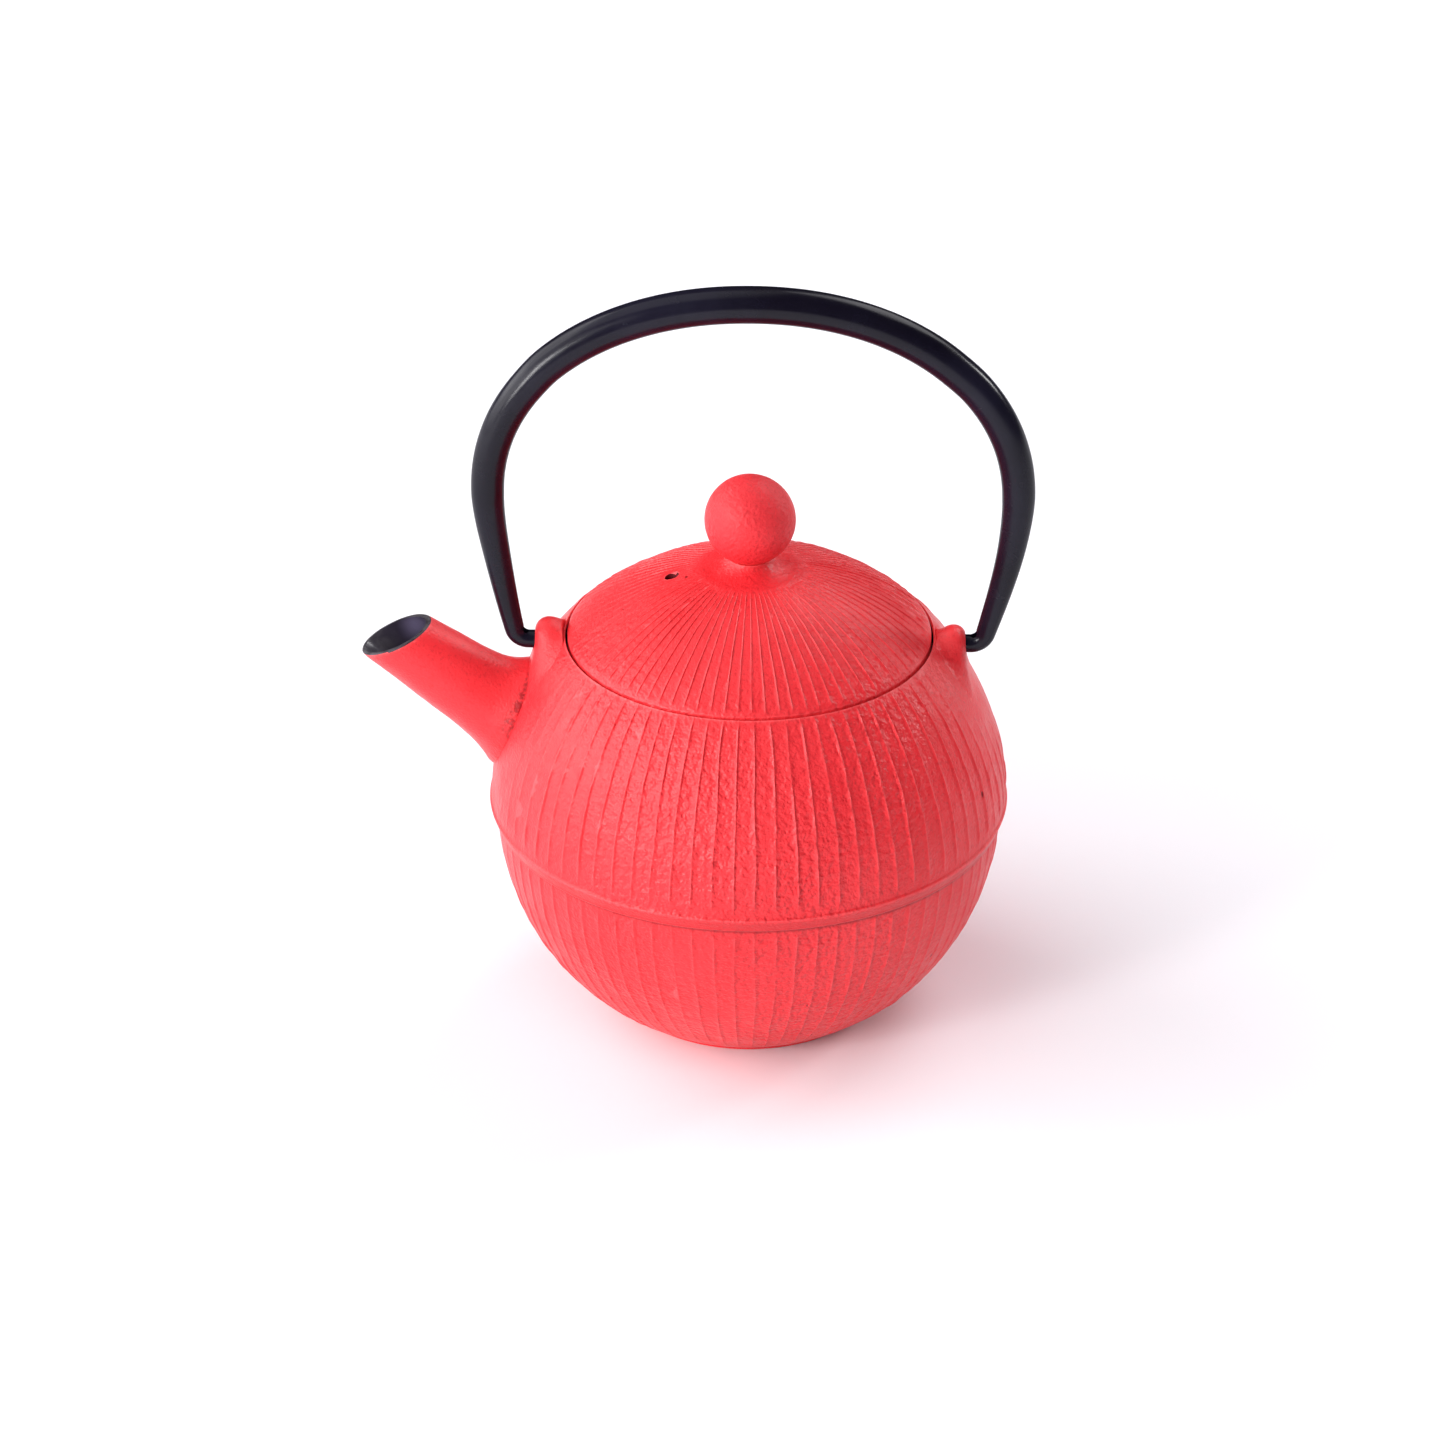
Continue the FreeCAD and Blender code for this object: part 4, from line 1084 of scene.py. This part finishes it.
def turned_red_coating():
    """The same coating over the turned knob, with a finer grain and a duller surface."""
    n = Nodes("red_coating_turned")
    colour = uneven_red(n, (0.79, 0.028, 0.037), (0.72, 0.021, 0.030))
    relief = n.bump(n.noise(330, 2), 0.00008)
    relief = n.bump(n.noise(1100, 2), 0.00034, 1.0, relief)
    rough = n.remap(n.noise(140), 0.3, 0.7, 0.47, 0.60)
    return n.finish(Base_Color=colour, Roughness=rough, Normal=relief, Specular_IOR_Level=0.38)


def black_enamel():
    """Glossy black enamel with faint waves.  In the spout it carries painted light: a pale patch
    just inside the lip and a violet painted reflection in its throat."""
    n = Nodes("black_enamel")
    colour = n.blend(n.remap(n.noise(90), 0.3, 0.7), (0.014, 0.009, 0.021), (0.044, 0.036, 0.057))
    # painted light: a pale patch just inside the spout's lip, broken up by noise
    pale_lip_light = n.remap(n.distance_from(SPOUT_TIP + np.array([-4.5, 0.0, -3.0])), 0.003, 0.009, 1, 0)
    pale_lip_light = n.times(pale_lip_light, n.remap(n.noise(260, 4, 0.6), 0.38, 0.62, 0.2, 1))
    colour = n.blend(pale_lip_light, colour, (0.085, 0.076, 0.090))
    # painted reflection: a pale violet patch deep in the spout's throat
    throat_reflection = n.remap(n.distance_from(SPOUT_TIP + np.array([4.4, 5.4, -0.8])), 0.0008, 0.0048, 0.8, 0)
    colour = n.blend(throat_reflection, colour, (0.150, 0.125, 0.215))
    relief = n.bump(n.noise(160, 2), 0.00022)
    rough = n.remap(n.noise(55), 0.3, 0.7, 0.22, 0.36)
    return n.finish(Base_Color=colour, Roughness=rough, Normal=relief,
                    Coat_Weight=0.8, Coat_Roughness=0.14)


def bare_iron():
    """Ground iron at the spout's rim, grey and a little stained."""
    n = Nodes("bare_iron_rim")
    colour = n.blend(n.remap(n.noise(700, 4), 0.3, 0.7), (0.022, 0.016, 0.024), (0.085, 0.075, 0.088))
    relief = n.bump(n.noise(1500), 0.00008)
    return n.finish(Base_Color=colour, Roughness=0.46, Normal=relief, Metallic=0.55)


def shaded_hole_wall():
    """Dark red of the steam hole's wall: painted shade, so that the narrow hole reads as dark."""
    n = Nodes("steam_hole_wall")
    colour = n.blend(n.noise(900), (0.06, 0.002, 0.004), (0.16, 0.005, 0.009))
    relief = n.bump(n.noise(1500, 2), 0.00005)
    return n.finish(Base_Color=colour, Roughness=0.7, Normal=relief, Specular_IOR_Level=0.2)


def black_coating():
    """Semi-gloss black coating of the bail, slightly grained, greyer on its sharpest edges such as
    the seam's lips: partly rubbed coating and partly a painted glint.
    """
    n = Nodes("black_bail_coating")
    colour = n.blend(n.remap(n.noise(45, 4), 0.35, 0.7), (0.005, 0.004, 0.009), (0.010, 0.009, 0.018))
    # greyer sharp edges: partly rubbed coating, partly a painted glint on the seam's lips
    edge_wear_and_glint = n.remap(n.add("ShaderNodeNewGeometry").outputs["Pointiness"], 0.58, 0.72, 0, 0.5)
    colour = n.blend(edge_wear_and_glint, colour, (0.14, 0.135, 0.15))
    relief = n.bump(n.noise(1300, 2), 0.000016)
    relief = n.bump(n.noise(110, 2), 0.00008, 1.0, relief)
    gloss = n.remap(n.noise(160), 0.3, 0.7, 0.20, 0.28)
    return n.finish(Base_Color=colour, Roughness=0.5, Normal=relief, Specular_IOR_Level=0.0,
                    Coat_Weight=0.5, Coat_Roughness=gloss, Coat_Tint=(0.88, 0.84, 1.0))


def stainless(name, tone, streaks):
    """Stainless steel with fine drawn streaks around the axis and faint tea staining."""
    n = Nodes(name)
    drawn = n.noise(120, 4, 0.6, n.stretched(1, 1, streaks))
    pale, dull = (tone, tone, tone * 1.01), (tone * 0.8, tone * 0.79, tone * 0.78)
    colour = n.blend(n.remap(drawn, 0.35, 0.65), pale, dull)
    colour = n.blend(n.remap(n.noise(60, 4), 0.55, 0.75, 0, 0.4), colour, (0.42, 0.34, 0.25))
    relief = n.bump(drawn, 0.00003)
    rough = n.remap(drawn, 0.3, 0.7, 0.2, 0.36)
    return n.finish(Base_Color=colour, Metallic=1.0, Roughness=rough, Normal=relief)


def backdrop_white():
    """Matte near-white paper with a trace of unevenness.  Far from the pot, where the lamps
    don't reach, it is seen as white as the room."""
    n = Nodes("studio_paper")
    colour = n.blend(n.noise(3, 2), (0.915, 0.908, 0.950), (0.930, 0.922, 0.960))
    far = n.remap(n.vector("LENGTH", n.place, output="Value"), 0.25, 0.9)
    seen = n.add("ShaderNodeLightPath").outputs["Is Camera Ray"]
    return n.finish(Base_Color=colour, Roughness=0.9, Specular_IOR_Level=0.05,
                    Emission_Color=(0.97, 0.96, 1.0), Emission_Strength=n.times(far, seen))


# ---- stage -------------------------------------------------------------------------------
POT_MIDDLE = Vector((0, 0, 0.06))


def studio_floor():
    half = 3.0
    corners = [(-half, -half, 0), (half, -half, 0), (half, half, 0), (-half, half, 0)]
    data = bpy.data.meshes.new("studio_floor")
    data.from_pydata(corners, [], [(0, 1, 2, 3)])
    floor = bpy.data.objects.new("studio_floor", data)
    bpy.context.scene.collection.objects.link(floor)
    data.materials.append(backdrop_white())


def around(azimuth, elevation, distance=1.5):
    """Place of a lamp seen from the pot at the given angles, in degrees."""
    turn, rise = math.radians(azimuth), math.radians(elevation)
    flat = distance * math.cos(rise)
    return Vector((flat * math.cos(turn), flat * math.sin(turn), distance * math.sin(rise))) + POT_MIDDLE


def soft_box(name, place, size, power):
    """Area lamp aimed at the pot."""
    data = bpy.data.lights.new(name, "AREA")
    data.shape = "RECTANGLE"
    data.size, data.size_y = size
    data.energy = power
    lamp = bpy.data.objects.new(name, data)
    lamp.location = place
    lamp.rotation_euler = (POT_MIDDLE - place).to_track_quat("-Z", "Y").to_euler()
    lamp.visible_camera = False
    bpy.context.scene.collection.objects.link(lamp)


def studio_light():
    """Wide soft boxes, most of them on the spout's side, in a white room that itself adds
    little light."""
    world = bpy.data.worlds.new("studio_white")
    world.use_nodes = True
    nodes = world.node_tree.nodes
    background = nodes["Background"]
    background.inputs["Color"].default_value = (0.97, 0.96, 1.0, 1)
    seen = nodes.new("ShaderNodeLightPath").outputs["Is Camera Ray"]
    strength = nodes.new("ShaderNodeMapRange")
    strength.inputs["To Min"].default_value = 0.03
    strength.inputs["To Max"].default_value = 0.97
    world.node_tree.links.new(seen, strength.inputs["Value"])
    world.node_tree.links.new(strength.outputs["Result"], background.inputs["Strength"])
    bpy.context.scene.world = world
    for name, azimuth, elevation, size, power in (
        ("left_low", 180, 12, (1.6, 0.6), 8.8),
        ("left_front", 210, 25, (1.4, 1.0), 6.6),
        ("left_back", 160, 30, (1.2, 1.0), 11.4),
        ("back_right", 50, 45, (0.9, 0.9), 9.8),
        ("front_fill", 262, 38, (2.0, 1.6), 12.6),
        ("window_left", 223, 16, (0.26, 0.5), 11.5),
        ("window_right", 26, 22, (0.24, 0.34), 5.5),
        ("above", 165, 66, (1.4, 1.4), 6.0),
    ):
        soft_box(name, around(azimuth, elevation), size, power)
    bpy.data.objects["front_fill"].visible_glossy = False     # light without a highlight
    bpy.data.lights["back_right"].color = (0.98, 0.97, 1.0)
    bpy.context.scene.view_settings.view_transform = "Standard"


def turned_by(axis, degrees):
    return Matrix.Rotation(math.radians(degrees), 4, axis)


def main_camera():
    """Camera on a long lens that looks down at the ball's centre from near the -Y side, and is
    then turned a little away from that line."""
    azimuth, elevation, distance = 0.7, 29.347, 1.0908
    data = bpy.data.cameras.new("main_camera")
    data.sensor_width = 36.0
    data.lens = 124.57
    camera = bpy.data.objects.new("main_camera", data)
    line = turned_by("Z", azimuth) @ turned_by("X", 90 - elevation)
    aim = turned_by("X", 0.8085) @ turned_by("Y", 0.3025) @ turned_by("Z", 0.3056)
    centre = Matrix.Translation((0, 0, EQUATOR_Z * MM))
    camera.matrix_world = centre @ line @ Matrix.Translation((0, 0, distance)) @ aim
    bpy.context.scene.collection.objects.link(camera)
    bpy.context.scene.camera = camera


# ---- assembly ----------------------------------------------------------------------------
def dress(node, material):
    """Gives a CAD node that stays visible its finished material."""
    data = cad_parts[node].data
    data.materials.clear()
    data.materials.append(material)


red = cast_red_coating()
enamel = black_enamel()
steel = stainless("stainless_pressed", 0.62, 9)
gauze = stainless("stainless_wire", 0.56, 1)

for finished_piece, cad_node, body, slot in (
    (pot_body(red, enamel, bare_iron()), "pot_body", "pot", "red_paint"),
    (lid_casting(red, enamel, shaded_hole_wall()), "lid_casting", "lid", "red_paint"),
    (lid_knob(turned_red_coating()), "lid_knob", "lid", "red_knob"),
    (bail_handle(black_coating()), "bail_handle", "bail", "black_bail"),
    (strainer_collar(steel), "strainer_collar", "strainer", "strainer_steel"),
    (strainer_bottom_ring(steel), "strainer_bottom_ring", "strainer", "strainer_steel"),
    (gauze_wall(gauze), "strainer_gauze_wall", "strainer", "gauze_steel"),
    (gauze_floor(gauze), "strainer_gauze_floor", "strainer", "gauze_steel"),
):
    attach(finished_piece, body)
    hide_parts(cad_node)
dress("knob_screw", stainless("stainless_screw", 0.5, 3))
dress("knob_washer", stainless("stainless_washer", 0.55, 3))

studio_floor()
studio_light()
main_camera()
